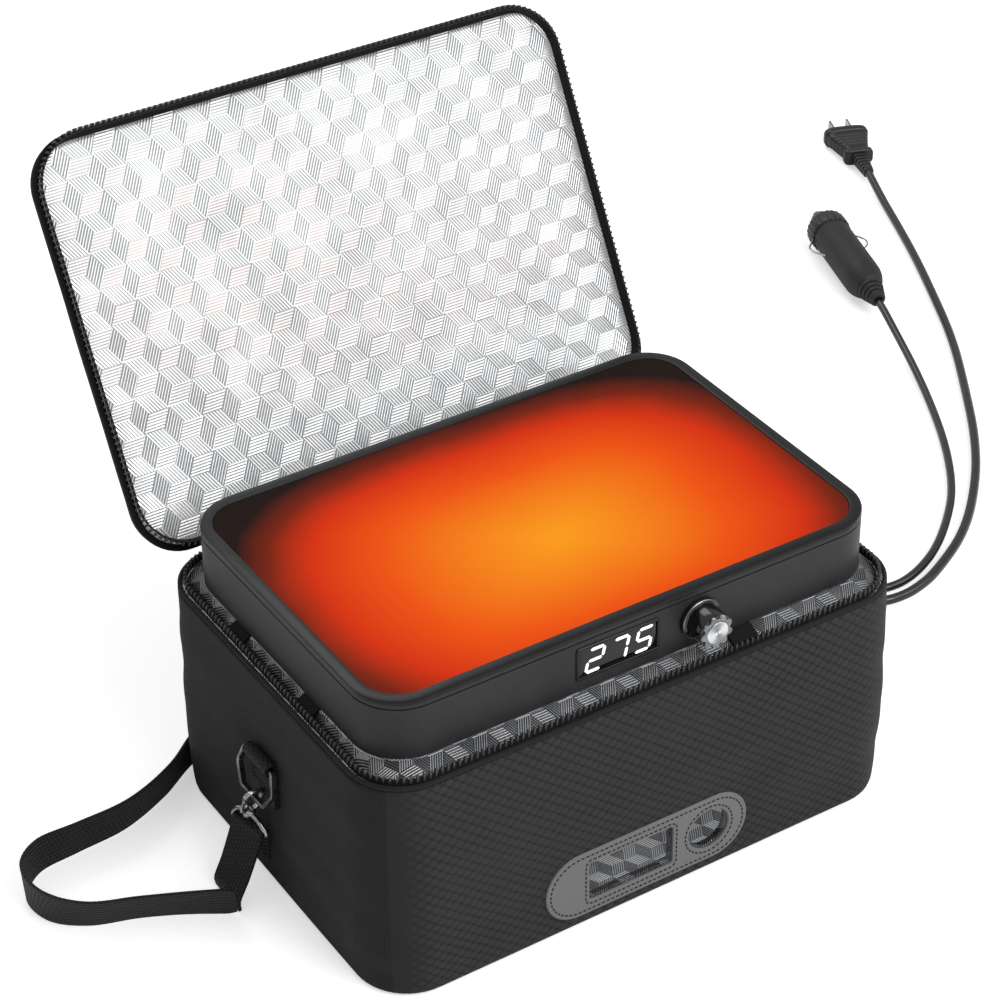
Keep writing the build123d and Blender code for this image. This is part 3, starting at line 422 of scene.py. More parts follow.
@dataclass(frozen=True)
class LitDigits(Finish):
    """Lit segments of the display: white light behind a diffuser."""

    def draw(self, add: Adder) -> dict[str, object]:
        """Draw white light with a slight mottle."""
        colour = add("ShaderNodeValToRGB", [mottle(add, DIFFUSER_MOTTLE)], stops={0.2: "#dfe6ea", 0.6: "#ffffff"})
        return {"Base Color": colour, "Emission Color": colour, "Emission Strength": 0.9, "Roughness": 0.5}


@dataclass(frozen=True)
class ClearPane(Finish):
    """Clear PVC film: smooth, tinted, with faint ripples and reflections of the lamps."""

    tint: str = "#3a3c3e"
    roughness: float = 0.1
    opacity: float = 0.12

    def draw(self, add: Adder) -> dict[str, object]:
        """Draw the tint with ripples in the gloss."""
        ripple = {"Height": mottle(add, FILM_RIPPLE), "Strength": 0.25, "Distance": 0.4 * MM}
        return {"Base Color": srgb(self.tint), "Roughness": self.roughness, "Alpha": self.opacity,
                "Normal": add("ShaderNodeBump", ripple)}


@dataclass(frozen=True)
class StudioPaint(Finish):
    """Matt white paint of the studio's floor, which the camera sees lit up to white."""

    def shader(self, add: Adder) -> Socket:
        """Write a matt surface with light of its own for the camera alone."""
        paint = add("ShaderNodeBsdfDiffuse", {"Color": srgb("#f4f4f4")})
        light = add("ShaderNodeEmission", {"Color": (1, 1, 1, 1), "Strength": 0.5})
        return add("ShaderNodeMixShader", [add("ShaderNodeLightPath", out="Is Camera Ray"), paint,
                                           add("ShaderNodeAddShader", [paint, light])])


# Dyed polyester: near black, with light only on the crests of its threads
SIDE_CLOTH = WovenPolyester("polyester_side_cloth", "#171718", "#252527", surface=Surface.YZ)
LID_CLOTH = WovenPolyester("polyester_lid_cloth", surface=Surface.XY)
BACK_CLOTH = WovenPolyester("polyester_back_cloth", surface=Surface.XZ)
FRONT_CLOTH = WovenPolyester("polyester_dobby_front", "#0f0f10", "#2f2f30", 0.8 * MM, 7.0 * MM, 5.8 * MM, 0.5 * MM,
                             plain_from=127 * MM)
# Coated, folded and tightly woven cloth: the coating fills the weave, a fold lifts it, a tape is the darkest
PATCH_CLOTH = WovenPolyester("coated_grey_patch", "#6e6e6e", "#808080", 0.8 * MM, relief=0.1 * MM)
PIPING_CLOTH = WovenPolyester("folded_piping_cloth", "#161617", "#262628", 0.9 * MM)
ZIP_TAPE = WovenPolyester("woven_zip_tape", "#0b0b0c", "#19191b", 0.8 * MM)
# Aluminised film: each copy is painted as bright as what it faces, so each wall of the bag has its own grey of painted
# reflection and painted shade; a glow adds painted light
LINER_FRONT = EmbossedFoil("aluminised_film_walls", "#c4c6c8", surface=Surface.XZ, glow=0.1)
LINER_SIDE = EmbossedFoil("aluminised_film_sides", "#c4c6c8", surface=Surface.YZ)
# Ledge: darker grey is painted shade under the heating unit's overhang
LINER_LEDGE = EmbossedFoil("aluminised_film_ledge", "#6a6c6f", 8.0 * MM, 1.1 * MM, Surface.XY, 0.0, "#2a2b2d",
                           "#c6c8ca")
# Edges of the openings: darker grey is painted shade in the wells, with a little painted light
LINER_WELL = EmbossedFoil("aluminised_film_edges", "#5c5e61", 8.0 * MM, 1.1 * MM, Surface.UV, 0.03, "#1c1d1e",
                          "#a8aaac")
# Floor: dark low grey is painted shade where little light reaches, lifted by strong painted light
LINER_FLOOR = EmbossedFoil("aluminised_film_floor", "#6e7073", 8.0 * MM, 1.1 * MM, Surface.XY, 0.55, "#121314",
                           "#e8eaeb")
# Lid: brightened grey is painted reflection of the lamps, with painted light on top
LID_FOIL = EmbossedFoil("aluminised_film_lid", "#e4e6e7", surface=Surface.UV, glow=0.2)
# Nylon, thread and plastic: the polish of the mould decides how sharp the lamps show in them
WEBBING = RibbedWebbing("ribbed_nylon_webbing")
# Zip teeth: black dyed nylon, lightened to grey as a painted highlight
ZIP_TEETH = Moulded("dyed_nylon_teeth", "#2b2b2d", "#48484b", 0.28)
STITCH = Moulded("black_thread", "#020202", "#060606", 0.9)
PALE_STITCH = Moulded("pale_seam_thread", "#9b9c9e", "#c2c3c4", 0.6)
SHELL = Moulded("textured_abs_shell", "#242426", "#303032", 0.45, 0.7 * MM, 0.03 * MM, gloss=0.3)
BEZEL = Moulded("polished_abs_trim", "#0c0c0d", "#131315", 0.34, coat=0.04, gloss=0.3)
KNOB_BLACK = Moulded("polished_phenolic_knob", "#0a0a0b", "#111113", 0.16, coat=0.5)
RUBBER = Moulded("silicone_rubber", "#151516", "#1f1f21", 0.75)
SHEATH = Moulded("glossy_pvc_sheath", "#121213", "#1b1b1d", 0.28, coat=0.3)
PLUG_PVC = Moulded("moulded_pvc_plug", "#151516", "#202022", 0.4)
PLUG_MATTE = Moulded("textured_abs_plug", "#151516", "#202122", 0.6, 0.5 * MM, 0.05 * MM)
FOAM = Moulded("closed_cell_foam", "#c9c9c5", "#dddcd8", 0.85, 1.2 * MM, 0.3 * MM)
CIRCUIT = Moulded("circuit_laminate", "#123a20", "#1a4c2b", 0.4)
GLASS_WOOL = Moulded("glass_wool_pad", "#c3bda8", "#dcd6c2", 0.9, 1.0 * MM, 0.4 * MM)
LENS = Moulded("smoked_lens", "#060607", "#0a0a0c", 0.12, relief=0.0)
DARK_PANEL = Moulded("display_black_panel", "#050506", "#09090a", 0.5)
# Metal: nickel is the brightest, gunmetal and anodised parts are darker and softer
NICKEL = PlatedMetal("nickel_plated_steel")
GUNMETAL = PlatedMetal("gunmetal_zinc", "#6c6d70", "#97989b", 0.26, 0.4)
FOIL_ELEMENT = PlatedMetal("etched_foil_element", "#6b6052", "#8c8071", 0.4)
SILVER_LINE = PlatedMetal("turned_silver_line", "#6a6b6d", "#8a8b8d", 0.3)
STAR_METAL = PlatedMetal("anodised_star_ring", "#77787a", "#98999b", 0.36)
# Hot coating, lit segments and clear film
HOT_PLATE = HotPlate("coated_hot_plate")
DIGITS = LitDigits("lit_segments")
FILM = ClearPane("clear_pvc_film")


# Shape helpers

TINY_RADIUS = 0.0002
CURVE_STEPS = 24
CORNER_STEPS = 12
SIDE_STEPS = 60
TOOTH_LEAN = 8.0


def linked(name: str, data: bpy.types.ID) -> Piece:
    """Put new data in the scene as an object."""
    piece = bpy.data.objects.new(name, data)
    bpy.context.scene.collection.objects.link(piece)
    return piece


def plain_mesh(piece: Piece) -> bpy.types.Mesh:
    """Give the mesh that a piece's modifiers make."""
    graph = bpy.context.evaluated_depsgraph_get()
    return bpy.data.meshes.new_from_object(piece.evaluated_get(graph))


def seat(piece: Piece, body: str, slot: str, *nodes: str) -> Piece:
    """Tie a finished piece to its body, and hide the solids it stands for."""
    if nodes:
        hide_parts(*nodes)
    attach(piece, body)
    log.info("%s rides on %s", piece.name, body)
    return piece


class Shape:
    """Mesh under construction, made of strips of points."""

    def __init__(self) -> None:
        """Start with an empty mesh and its map."""
        self.mesh = bmesh.new()
        self.map = self.mesh.loops.layers.uv.new("UVMap")

    def ring(self, points: Iterable[Point]) -> list[bmesh.types.BMVert]:
        """Add loose points."""
        return [self.mesh.verts.new(p) for p in points]

    def face(self, verts: Sequence[bmesh.types.BMVert], places: Pairs = ()) -> None:
        """Add one smooth face with its places on the map."""
        made = self.mesh.faces.new(verts)
        made.smooth = True
        for loop, (u, v) in zip(made.loops, places):
            loop[self.map].uv = (u * MM, v * MM)

    def loops(self, rows: Sequence[Sequence[Point]], around: bool = True, along: bool = False,
              caps: bool = False) -> list[list[bmesh.types.BMVert]]:
        """Skin rows of points, each as long as the next.

        Args:
            rows: Points of each row.
            around: Join each row's last point to its first.
            along: Join the last row to the first.
            caps: Close the first and last rows with one face each.

        Returns:
            The new points of each row.
        """
        verts = [self.ring(row) for row in rows]
        count, size = len(rows), len(rows[0])
        down, over = running([row[0] for row in rows]), running(rows[0])
        for i in range(count if along else count - 1):
            for j in range(size if around else size - 1):
                k, m = (i + 1) % count, (j + 1) % size
                self.face([verts[i][j], verts[i][m], verts[k][m], verts[k][j]],
                          [(over[j], down[i]), (over[j + 1], down[i]), (over[j + 1], down[i + 1]),
                           (over[j], down[i + 1])])
        if caps:
            self.face(verts[0][::-1])
            self.face(verts[-1])
        return verts

    def fan(self, points: Iterable[Point], middle: Point) -> None:
        """Close a ring of points to its middle."""
        hub, ring = self.mesh.verts.new(middle), self.ring(points)
        for first, second in zip(ring, ring[1:] + ring[:1]):
            self.face([first, second, hub])

    def done(self, name: str, *finishes: Finish, merge: float = 0.001, outward: bool = True,
             sharp: float = 40.0) -> Piece:
        """Turn the shape into an object in the scene, in metres.

        Args:
            name: Piece name.
            finishes: Finish of each material slot.
            merge: Distance under which points are joined.
            outward: Turn the faces outwards.
            sharp: Edges that bend more than this, in degrees, are drawn crisp.

        Returns:
            The new object.
        """
        bmesh.ops.remove_doubles(self.mesh, verts=self.mesh.verts, dist=merge)
        if outward:
            bmesh.ops.recalc_face_normals(self.mesh, faces=self.mesh.faces)
        for edge in self.mesh.edges:
            if len(edge.link_faces) == 2 and edge.calc_face_angle(0.0) > math.radians(sharp):
                edge.smooth = False
        bmesh.ops.transform(self.mesh, matrix=Matrix.Scale(MM, 4), verts=self.mesh.verts)
        data = bpy.data.meshes.new(name)
        self.mesh.to_mesh(data)
        self.mesh.free()
        for finish in finishes:
            data.materials.append(finish.material())
        return linked(name, data)


def skinned(name: str, finish: Finish, place: Sequence[str], *blocks: Rows, along: bool = False, caps: bool = False,
            sharp: float = 40.0) -> Piece:
    """Make one piece of closed rows and seat it.

    Args:
        name: Piece name.
        finish: Its finish.
        place: Body, material slot, and solids it stands for.
        blocks: Rows of each part of the piece.
        along: Join each part's last row to its first.
        caps: Close each part's ends.
        sharp: Edges that bend more than this, in degrees, are drawn crisp.

    Returns:
        The seated piece.
    """
    shape = Shape()
    for rows in blocks:
        shape.loops(rows, along=along, caps=caps)
    return seat(shape.done(name, finish, sharp=sharp), *place)


def thicken(piece: Piece, thickness: float) -> Piece:
    """Give a cloth skin its thickness, inwards, with closed edges."""
    modifier = piece.modifiers.new("cloth_thickness", "SOLIDIFY")
    modifier.thickness = thickness * MM
    modifier.offset = -1.0
    made = plain_mesh(piece)
    piece.modifiers.clear()
    piece.data = made
    return piece


def running(points: Sequence[Point]) -> list[float]:
    """Give the distance run so far at each point, with one closing step."""
    lengths = [0.0]
    for before, after in zip(points, [*points[1:], points[0]]):
        lengths.append(lengths[-1] + (Vector(after) - Vector(before)).length)
    return lengths


def turned(rows: Iterable[Iterable[Point]], matrix: Matrix) -> Rows:
    """Move rows of points by a matrix."""
    return [[matrix @ Vector(p) for p in row] for row in rows]


def rounded_outline(length: float, depth: float, corner: float, steps: int = 10,
                    straight: int = 1) -> list[tuple[float, float]]:
    """Give points of a rounded rectangle about the origin, anticlockwise from the right end of its front.

    Args:
        length: Size along X.
        depth: Size along Y.
        corner: Corner radius.
        steps: Segments in each corner.
        straight: Segments in each straight side.

    Returns:
        The points.
    """
    x, y = length / 2 - corner, depth / 2 - corner
    arcs = [[(cx + corner * math.cos(math.radians(start + 90.0 * k / steps)),
              cy + corner * math.sin(math.radians(start + 90.0 * k / steps))) for k in range(steps + 1)]
            for cx, cy, start in ((x, -y, -90.0), (x, y, 0.0), (-x, y, 90.0), (-x, -y, 180.0))]
    points = []
    for arc, after in zip(arcs, arcs[1:] + arcs[:1]):
        (ax, ay), (bx, by) = arc[-1], after[0]
        points += arc + [(ax + (bx - ax) * k / straight, ay + (by - ay) * k / straight) for k in range(1, straight)]
    return points


def around_wall(length: float, depth: float, corner: float, section: Pairs, steps: int = 10,
                straight: int = 1) -> Rows:
    """Give rows of a section swept round a rounded rectangle.

    Args:
        length: Outer size along X.
        depth: Outer size along Y.
        corner: Outer corner radius.
        section: Distance inwards from the outside, and height, of each point.
        steps: Segments in each corner.
        straight: Segments in each straight side.

    Returns:
        One row for each place on the outline.
    """
    rings = [[Vector((x, y, height)) for x, y in rounded_outline(
        length - 2 * inset, depth - 2 * inset, max(corner - inset, TINY_RADIUS), steps, straight)]
        for inset, height in section]
    return [list(row) for row in zip(*rings)]


def lathe(profile: Pairs, centre: Point = (0, 0, 0), axis: Vector = X, steps: int = 48,
          ripple: Optional[Callable[[float, float], float]] = None) -> Rows:
    """Give rows of a profile turned about an axis.

    Args:
        profile: Radius and place along the axis of each point.
        centre: Point on the axis where the place is zero.
        axis: Direction of the axis.
        steps: Segments round the axis.
        ripple: Change of radius for an angle and a place.

    Returns:
        One closed row for each profile point.
    """
    side = axis.orthogonal().normalized()
    other = axis.cross(side)
    rows = []
    for radius, place in profile:
        hub = Vector(centre) + axis * place
        angles = [2 * math.pi * k / steps for k in range(steps)]
        rows.append([hub + (side * math.cos(angle) + other * math.sin(angle))
                     * (radius + (ripple(angle, place) if ripple and radius > 0 else 0.0)) for angle in angles])
    return rows


def smooth_line(points: Sequence[Point], step: float, closed: bool = False) -> list[Vector]:
    """Give points along a smooth curve through the given ones, a step apart.

    Args:
        points: Points that the curve passes.
        step: Distance between the points given back.
        closed: Join the end to the start.

    Returns:
        Points of the curve.
    """
    spots = [Vector(p) for p in points]
    if closed:
        spots = [spots[-1]] + spots + spots[:2]
    else:
        spots = [spots[0] * 2 - spots[1]] + spots + [spots[-1] * 2 - spots[-2]]
    dense = []
    for before, first, last, after in zip(spots, spots[1:], spots[2:], spots[3:]):
        for t in (k / CURVE_STEPS for k in range(CURVE_STEPS)):
            dense.append(0.5 * (2 * first + (last - before) * t + (2 * before - 5 * first + 4 * last - after) * t ** 2
                                + (3 * first - before - 3 * last + after) * t ** 3))
    dense.append(spots[-2])
    total = sum((b - a).length for a, b in zip(dense, dense[1:]))
    pieces = max(2, round(total / step))
    gap, travelled, line = total / pieces, 0.0, []
    for a, b in zip(dense, dense[1:]):
        length = (b - a).length
        while len(line) <= pieces and gap * len(line) <= travelled + length + 1e-9:
            line.append(a.lerp(b, (gap * len(line) - travelled) / length if length else 0.0))
        travelled += length
    if len(line) <= pieces:
        line.append(dense[-1].copy())
    return line[:-1] if closed else line


def headings(line: Sequence[Vector], closed: bool = False) -> list[Vector]:
    """Give the direction of a line at each of its points."""
    after = [*line[1:], line[0] if closed else line[-1]]
    before = [line[-1] if closed else line[0], *line[:-1]]
    return [(b - a).normalized() for a, b in zip(before, after)]


def wire(line: Sequence[Vector], radius: float, closed: bool = False, sides: int = 12) -> Rows:
    """Give rows of a round wire along a line, turned as little as possible from row to row."""
    rows, normal = [], None
    turns = [2 * math.pi * k / sides for k in range(sides)]
    for place, ahead in zip(line, headings(line, closed)):
        normal = ahead.orthogonal() if normal is None else normal - ahead * normal.dot(ahead)
        normal.normalize()
        other = ahead.cross(normal)
        rows.append([place + (normal * math.cos(turn) + other * math.sin(turn)) * radius for turn in turns])
    return rows


def ball_ended(line: Sequence[Vector], radius: float) -> Rows:
    """Give rows of a round wire with rounded ends."""
    rows = wire(line, radius, sides=14)
    domes = [[[centre + (p - centre) * math.cos(a) + (centre - inner).normalized() * radius * math.sin(a) for p in row]
              for a in map(math.radians, (30, 60, 85))]
             for row, centre, inner in ((rows[0], line[0], line[1]), (rows[-1], line[-1], line[-2]))]
    return domes[0][::-1] + rows + domes[1]


def band(line: Sequence[Vector], across: Sequence[Vector], width: float, thick: float) -> Rows:
    """Give rows of a flat band with soft edges.

    Args:
        line: Points along the middle of the band.
        across: Direction of the band's width at each point, or one for all.
        width: Width of the band.
        thick: Thickness of the band.

    Returns:
        One closed row for each point, first face, edge, second face, edge.
    """
    half, rise = width / 2, thick / 2
    face = [-half + rise * 0.3] + [-half + width * k / 6 for k in range(1, 6)] + [half - rise * 0.3]
    rows = []
    for place, ahead, wide in zip(line, headings(line), across if len(across) > 1 else across * len(line)):
        side = (wide - ahead * wide.dot(ahead)).normalized()
        normal = ahead.cross(side)
        rows.append([place + side * s + normal * rise for s in face] + [place + side * half]
                    + [place + side * s - normal * rise for s in reversed(face)] + [place - side * half])
    return rows


class Repeat(Enum):
    """Shapes that a repeat places along a line."""

    TOOTH = "leaning bar with softened edges, along an open line"
    STITCH = "rounded stitch, round a closed line"


def repeat_along(name: str, line: Iterable[Point], pitch: float, size: Point, up: Vector, finish: Finish,
                 shape: Repeat = Repeat.STITCH) -> Piece:
    """Place small copies along a line with a geometry node tree, and give them as one plain mesh.

    Args:
        name: Piece name.
        line: Points of the line.
        pitch: Distance between copies.
        size: Size of a copy along the line, across it, and up.
        up: Direction that the copies stand in.
        finish: Finish of the copies.
        shape: Shape of a copy.

    Returns:
        The new piece.
    """
    spots = [tuple(Vector(p) * MM) for p in line]
    edges = [(i, i + 1) for i in range(len(spots) - 1)]
    if shape is Repeat.STITCH:
        edges.append((len(spots) - 1, 0))
    data = bpy.data.meshes.new(name + "_line")
    data.from_pydata(spots, edges, [])
    guide = linked(name + "_line", data)
    tree = bpy.data.node_groups.new(name + "_tree", "GeometryNodeTree")
    face = tree.interface
    face.new_socket("Line", in_out="INPUT", socket_type="NodeSocketGeometry")
    face.new_socket("Copies", in_out="OUTPUT", socket_type="NodeSocketGeometry")
    values = {"Pitch": pitch * MM, "Size": tuple(side * MM for side in size), "Up": tuple(up),
              "Lean": math.radians(TOOTH_LEAN if shape is Repeat.TOOTH else 0.0)}
    keys = {label: face.new_socket(label, in_out="INPUT", socket_type=(
        "NodeSocketVector" if isinstance(value, tuple) else "NodeSocketFloat")).identifier
        for label, value in values.items()}
    add = Nodes(tree).add
    given = add("NodeGroupInput").node.outputs
    path = add("GeometryNodeMeshToCurve", {"Mesh": given["Line"]})
    stops = add("GeometryNodeResampleCurve", {"Curve": path, "Length": given["Pitch"]}, mode="LENGTH")
    if shape is Repeat.TOOTH:
        block = add("GeometryNodeMeshCube", {"Size": (1.0, 1.0, 1.0)})
        unit = add("GeometryNodeSubdivisionSurface", {"Mesh": block, "Level": 1, "Edge Crease": 0.75})
    else:
        unit = add("GeometryNodeMeshUVSphere", {"Segments": 8, "Rings": 5, "Radius": 0.5})
    sized = add("GeometryNodeTransform", {"Geometry": unit, "Scale": given["Size"]})
    standing = add("FunctionNodeAlignRotationToVector", {"Vector": given["Up"]}, axis="Z")
    facing = add("FunctionNodeAlignRotationToVector", {
        "Rotation": standing, "Vector": add("GeometryNodeInputTangent")}, axis="X", pivot_axis="Z")
    lean = add("FunctionNodeEulerToRotation", [add("ShaderNodeCombineXYZ", {"Y": given["Lean"]})])
    leaning = add("FunctionNodeRotateRotation", [facing, lean], rotation_space="LOCAL")
    placed = add("GeometryNodeInstanceOnPoints", {"Points": stops, "Instance": sized, "Rotation": leaning})
    real = add("GeometryNodeRealizeInstances", {"Geometry": placed})
    dressed = add("GeometryNodeSetMaterial", {"Geometry": real, "Material": finish.material()})
    add("NodeGroupOutput", {"Copies": dressed})
    modifier = guide.modifiers.new("repeat", "NODES")
    modifier.node_group = tree
    for label, value in values.items():
        modifier[keys[label]] = value
    made = plain_mesh(guide)
    made.name = name
    bpy.data.objects.remove(guide)
    return linked(name, made)


def held(value: float, low: float = 0.0, high: float = 1.0) -> float:
    """Hold a value between two limits."""
    return min(high, max(low, value))


# Cords and plugs

AC_ROUTE = ((180, 53, 34), (200, 51, 31.5), (216, 43, 18), (228, 31.5, 6.5), (238, 21.5, 2.9), (248, 15, 2.9),
            (260, 13.2, 2.9), (272, 14.5, 2.9), (290, 20, 2.9), (332, 43, 2.9), (373, 82, 2.9), (402, 118, 2.9),
            (428, 157, 2.9), (462.5, 211, 2.9), (491, 268, 2.9), (511.5, 311, 2.9), (530.5, 355.5, 2.9),
            (541, 383, 4.2), (552, 411, 7.5))
CAR_ROUTE = ((180, 67, 34), (200, 65, 31.5), (216, 57, 18), (228, 45.5, 6), (238, 35, 2.6), (248, 27.5, 2.6),
             (259, 24, 2.6), (271, 24, 2.6), (287, 29, 2.6), (306, 39, 2.6), (328, 56, 2.6), (353, 80, 2.6),
             (379, 117.5, 2.6), (401, 158, 2.6), (419, 197, 4), (433, 237, 9.5), (441, 262, 14.2),
             (450.14, 290.57, 14.2))
CAR_PLUG_RUN = CAR_ROUTE[-3:-1]


def section(place: float, width: float, height: float, power: float = 4.0, steps: int = 40) -> list[Vector]:
    """Give one closed row of a softened box, across the X axis.

    Args:
        place: Place along X.
        width: Size along Y.
        height: Size along Z.
        power: 2 is an ellipse, and more is squarer.
        steps: Points of the row.

    Returns:
        Points of the row.
    """
    angles = [2 * math.pi * k / steps for k in range(steps)]
    return [Vector((place, *(math.copysign(abs(way(angle)) ** (2 / power), way(angle)) * size / 2
                             for way, size in ((math.cos, width), (math.sin, height))))) for angle in angles]


def laid(rows: Rows, route: Sequence[Point]) -> Rows:
    """Put rows drawn along X at the end of a route, headed as its last run."""
    before, end = Vector(route[-2]), Vector(route[-1])
    return turned(rows, Matrix.Translation(end) @ Matrix.Rotation(
        math.atan2(end.y - before.y, end.x - before.x), 4, "Z"))


def pointed(rows: Rows, first: Point, last: Point) -> Rows:
    """Close rows with a point at each end."""
    count = len(rows[0])
    return [[Vector(first)] * count] + rows + [[Vector(last)] * count]


@dataclass
class Cords:
    """The two supply cords, their port on the bag, and their plugs."""

    ac_diameter: float = 5.6
    car_diameter: float = 5.0
    ac_length: float = 0.615
    car_length: float = 0.45
    port_place: tuple[float, float, float] = (155.0, 60.0, 34.0)
    port_size: tuple[float, float, float] = (34.0, 18.0, 6.0)
    port_nose: float = 25.0

    def build(self) -> None:
        """Build every piece of the sub-assembly."""
        self.port()
        blades = bpy.data.objects["ac_plug_blades"]
        self.flex("ac_flex", AC_ROUTE, self.ac_diameter, self.ac_length, "ac_cord", [self.mains_plug(), blades])
        self.flex("car_flex", CAR_ROUTE, self.car_diameter, self.car_length, "car_cord", self.car_plug())

    def flex(self, name: str, route: Sequence[Point], diameter: float, length: float, node: str,
             pieces: list[Piece]) -> None:
        data = bpy.data.curves.new(name, "CURVE")
        data.dimensions = "3D"
        data.resolution_u = 16
        data.bevel_depth = diameter * MM / 2
        data.bevel_resolution = 5
        data.use_fill_caps = True
        spline = data.splines.new("NURBS")
        spline.points.add(len(route) - 1)
        for point, place in zip(spline.points, route):
            point.co = (*(v * MM for v in place), 1.0)
        spline.order_u = 3
        spline.use_endpoint_u = True
        data.materials.append(SHEATH.material())
        piece = seat(linked(name, data), "bag", "cord_black", node)

    def port(self) -> None:
        """Moulded port plate with a ribbed strain relief for each cord."""
        wall, y, z = self.port_place
        long, high, corner = self.port_size
        plate = [[Vector((wall + place, y + b, z + a)) for a, b in
                  rounded_outline(high - shrink, long - shrink, corner - shrink / 2, 6)]
                 for place, shrink in ((0.0, 0.0), (2.2, 0.0), (2.8, 0.5), (3.0, 1.4))]
        blocks = [pointed(plate, (wall, y, z), (wall + 3.0, y, z))]
        for start, radius in ((AC_ROUTE[0], 2.8), (CAR_ROUTE[0], 2.5)):
            profile = [(0.0, 2.6), (radius + 3.6, 2.6), (radius + 3.2, 3.6)]
            for rib in range(6):
                place, thick = 5.0 + rib * 3.1, radius + 2.9 - rib * 0.27
                profile += [(thick, place), (thick, place + 1.9), (thick - 0.9, place + 2.1),
                            (thick - 0.9, place + 2.9)]
            profile += [(radius + 1.0, 24.2), (radius + 0.7, self.port_nose), (0.0, self.port_nose)]
            blocks.append(lathe(profile, (wall, *start[1:]), X, 28))
        skinned("cord_port_moulding", PLUG_PVC, ("bag", "plug_black", "cord_port"), *blocks, sharp=30)

    def mains_plug(self) -> Piece:
        """Two-blade plug: slotted relief, collar, ribbed tapering grip and face flange."""
        sizes = [(0.0, 6.6, 6.2, 2.4)]
        for step in range(6):
            start, wide, high = 0.6 + step * 3.9, 7.2 + step * 0.7, 6.6 + step * 0.35
            sizes += [(start, wide, high), (start + 2.3, wide + 0.3, high + 0.1), (start + 2.5, wide - 1.6, 6.2),
                      (start + 3.7, wide - 1.4, 6.2)]
        sizes += [(24.0, 12.0, 9.4), (24.3, 20.4, 11.6), (25.0, 21.4, 12.4), (28.2, 21.4, 12.4), (29.0, 20.2, 11.4),
                  (29.4, 16.6, 11.2)]
        for rib in range(5):
            start, wide = 30.2 + rib * 4.4, 17.0 + rib * 2.6
            sizes += [(start, wide, 12.4), (start + 2.6, wide + 1.6, 12.4), (start + 2.9, wide + 0.9, 11.2),
                      (start + 4.1, wide + 1.6, 11.2)]
        sizes += [(52.6, 29.0, 12.4), (53.8, 30.0, 12.4), (54.2, 31.2, 14.2), (54.8, 32.0, 15.0), (59.0, 32.0, 15.0),
                  (60.0, 30.8, 13.8)]
        rows = pointed([section(*size) for size in sizes], (0, 0, 0), (60.0, 0, 0))
        return skinned("mains_plug_moulding", PLUG_PVC, ("bag", "plug_black", "ac_plug_body"),
                       laid(rows, AC_ROUTE), sharp=50)

    def car_plug(self) -> list[Piece]:
        """Car socket plug: ringed relief, smooth body, ribbed nut and nose, sprung contacts and tip."""
        body = [(0.0, 3.0), (2.55, 3.0), (2.7, 0.0), (4.2, 0.0), (4.5, 0.8)]
        for ring in range(4):
            start, thick = 2.0 + ring * 3.6, 5.4 + ring * 0.95
            body += [(thick, start), (thick + 0.3, start + 2.2), (thick - 0.6, start + 2.5), (thick - 0.5, start + 3.4)]
        body += [(9.0, 17.0), (9.4, 18.0), (11.0, 21.5), (12.2, 25.0), (12.9, 29.0), (13.0, 34.0), (13.0, 84.0),
                 (12.7, 86.0), (12.6, 88.0), (0.0, 88.0)]
        nut = [(0.0, 88.05), (13.2, 88.05), (13.9, 88.8), (14.1, 90.0), (14.1, 98.6), (13.6, 100.2), (12.6, 101.0),
               (9.0, 101.2), (8.8, 102.0), (8.2, 106.0), (6.4, 112.2), (5.6, 113.0), (0.0, 113.0)]
        tip = [(0.0, 112.8), (3.0, 112.8), (3.0, 117.2), (2.7, 118.8), (1.8, 119.8), (0.0, 120.0)]
        spring = [(64, 13.4), (67, 15.5), (71, 19.0), (75.5, 20.0), (79, 19.2), (84, 15.6), (87, 13.6)]
        made = [skinned(name, finish, ("bag", "plug_black", node), laid(rows, CAR_PLUG_RUN), sharp=50)
                for name, finish, node, rows in (
                    ("car_plug_moulding", PLUG_MATTE, "car_plug_body", lathe(body, steps=56)),
                    ("car_plug_ribbed_nut", PLUG_PVC, "car_plug_nut", lathe(nut, steps=144, ripple=self.knurl)))]
        contacts = Shape()
        contacts.loops(laid(lathe(tip, steps=28), CAR_PLUG_RUN))
        for sign in (-1, 1):
            line = smooth_line([(x, sign * y, 0) for x, y in spring], 0.8)
            contacts.loops(laid(wire(line, 0.6), CAR_PLUG_RUN), caps=True)
        return made + [seat(contacts.done("car_plug_springs", NICKEL), "bag", "steel", "car_plug_contacts")]

    @staticmethod
    def knurl(angle: float, place: float) -> float:
        """Give the ribs of the nut: 24 of them, on its grip only."""
        return -0.45 * (0.5 - 0.5 * math.cos(24 * angle)) if 88.6 < place < 100.5 else 0.0


# Bag


@dataclass
class RoundedBox:
    """Sub-assembly whose sides follow a rounded rectangle."""

    length: float
    depth: float
    corner: float

    def wall(self, line: Pairs, steps: int, straight: int) -> Rows:
        """Give rows of a section swept round the sides."""
        return around_wall(self.length, self.depth, self.corner, line, steps, straight)

    def outline(self, inset: float, steps: int, straight: int, z: float = 0.0) -> list[Vector]:
        """Give a line round the sides at a distance inwards."""
        return [Vector((x, y, z)) for x, y in rounded_outline(
            self.length - 2 * inset, self.depth - 2 * inset, self.corner - inset, steps, straight)]


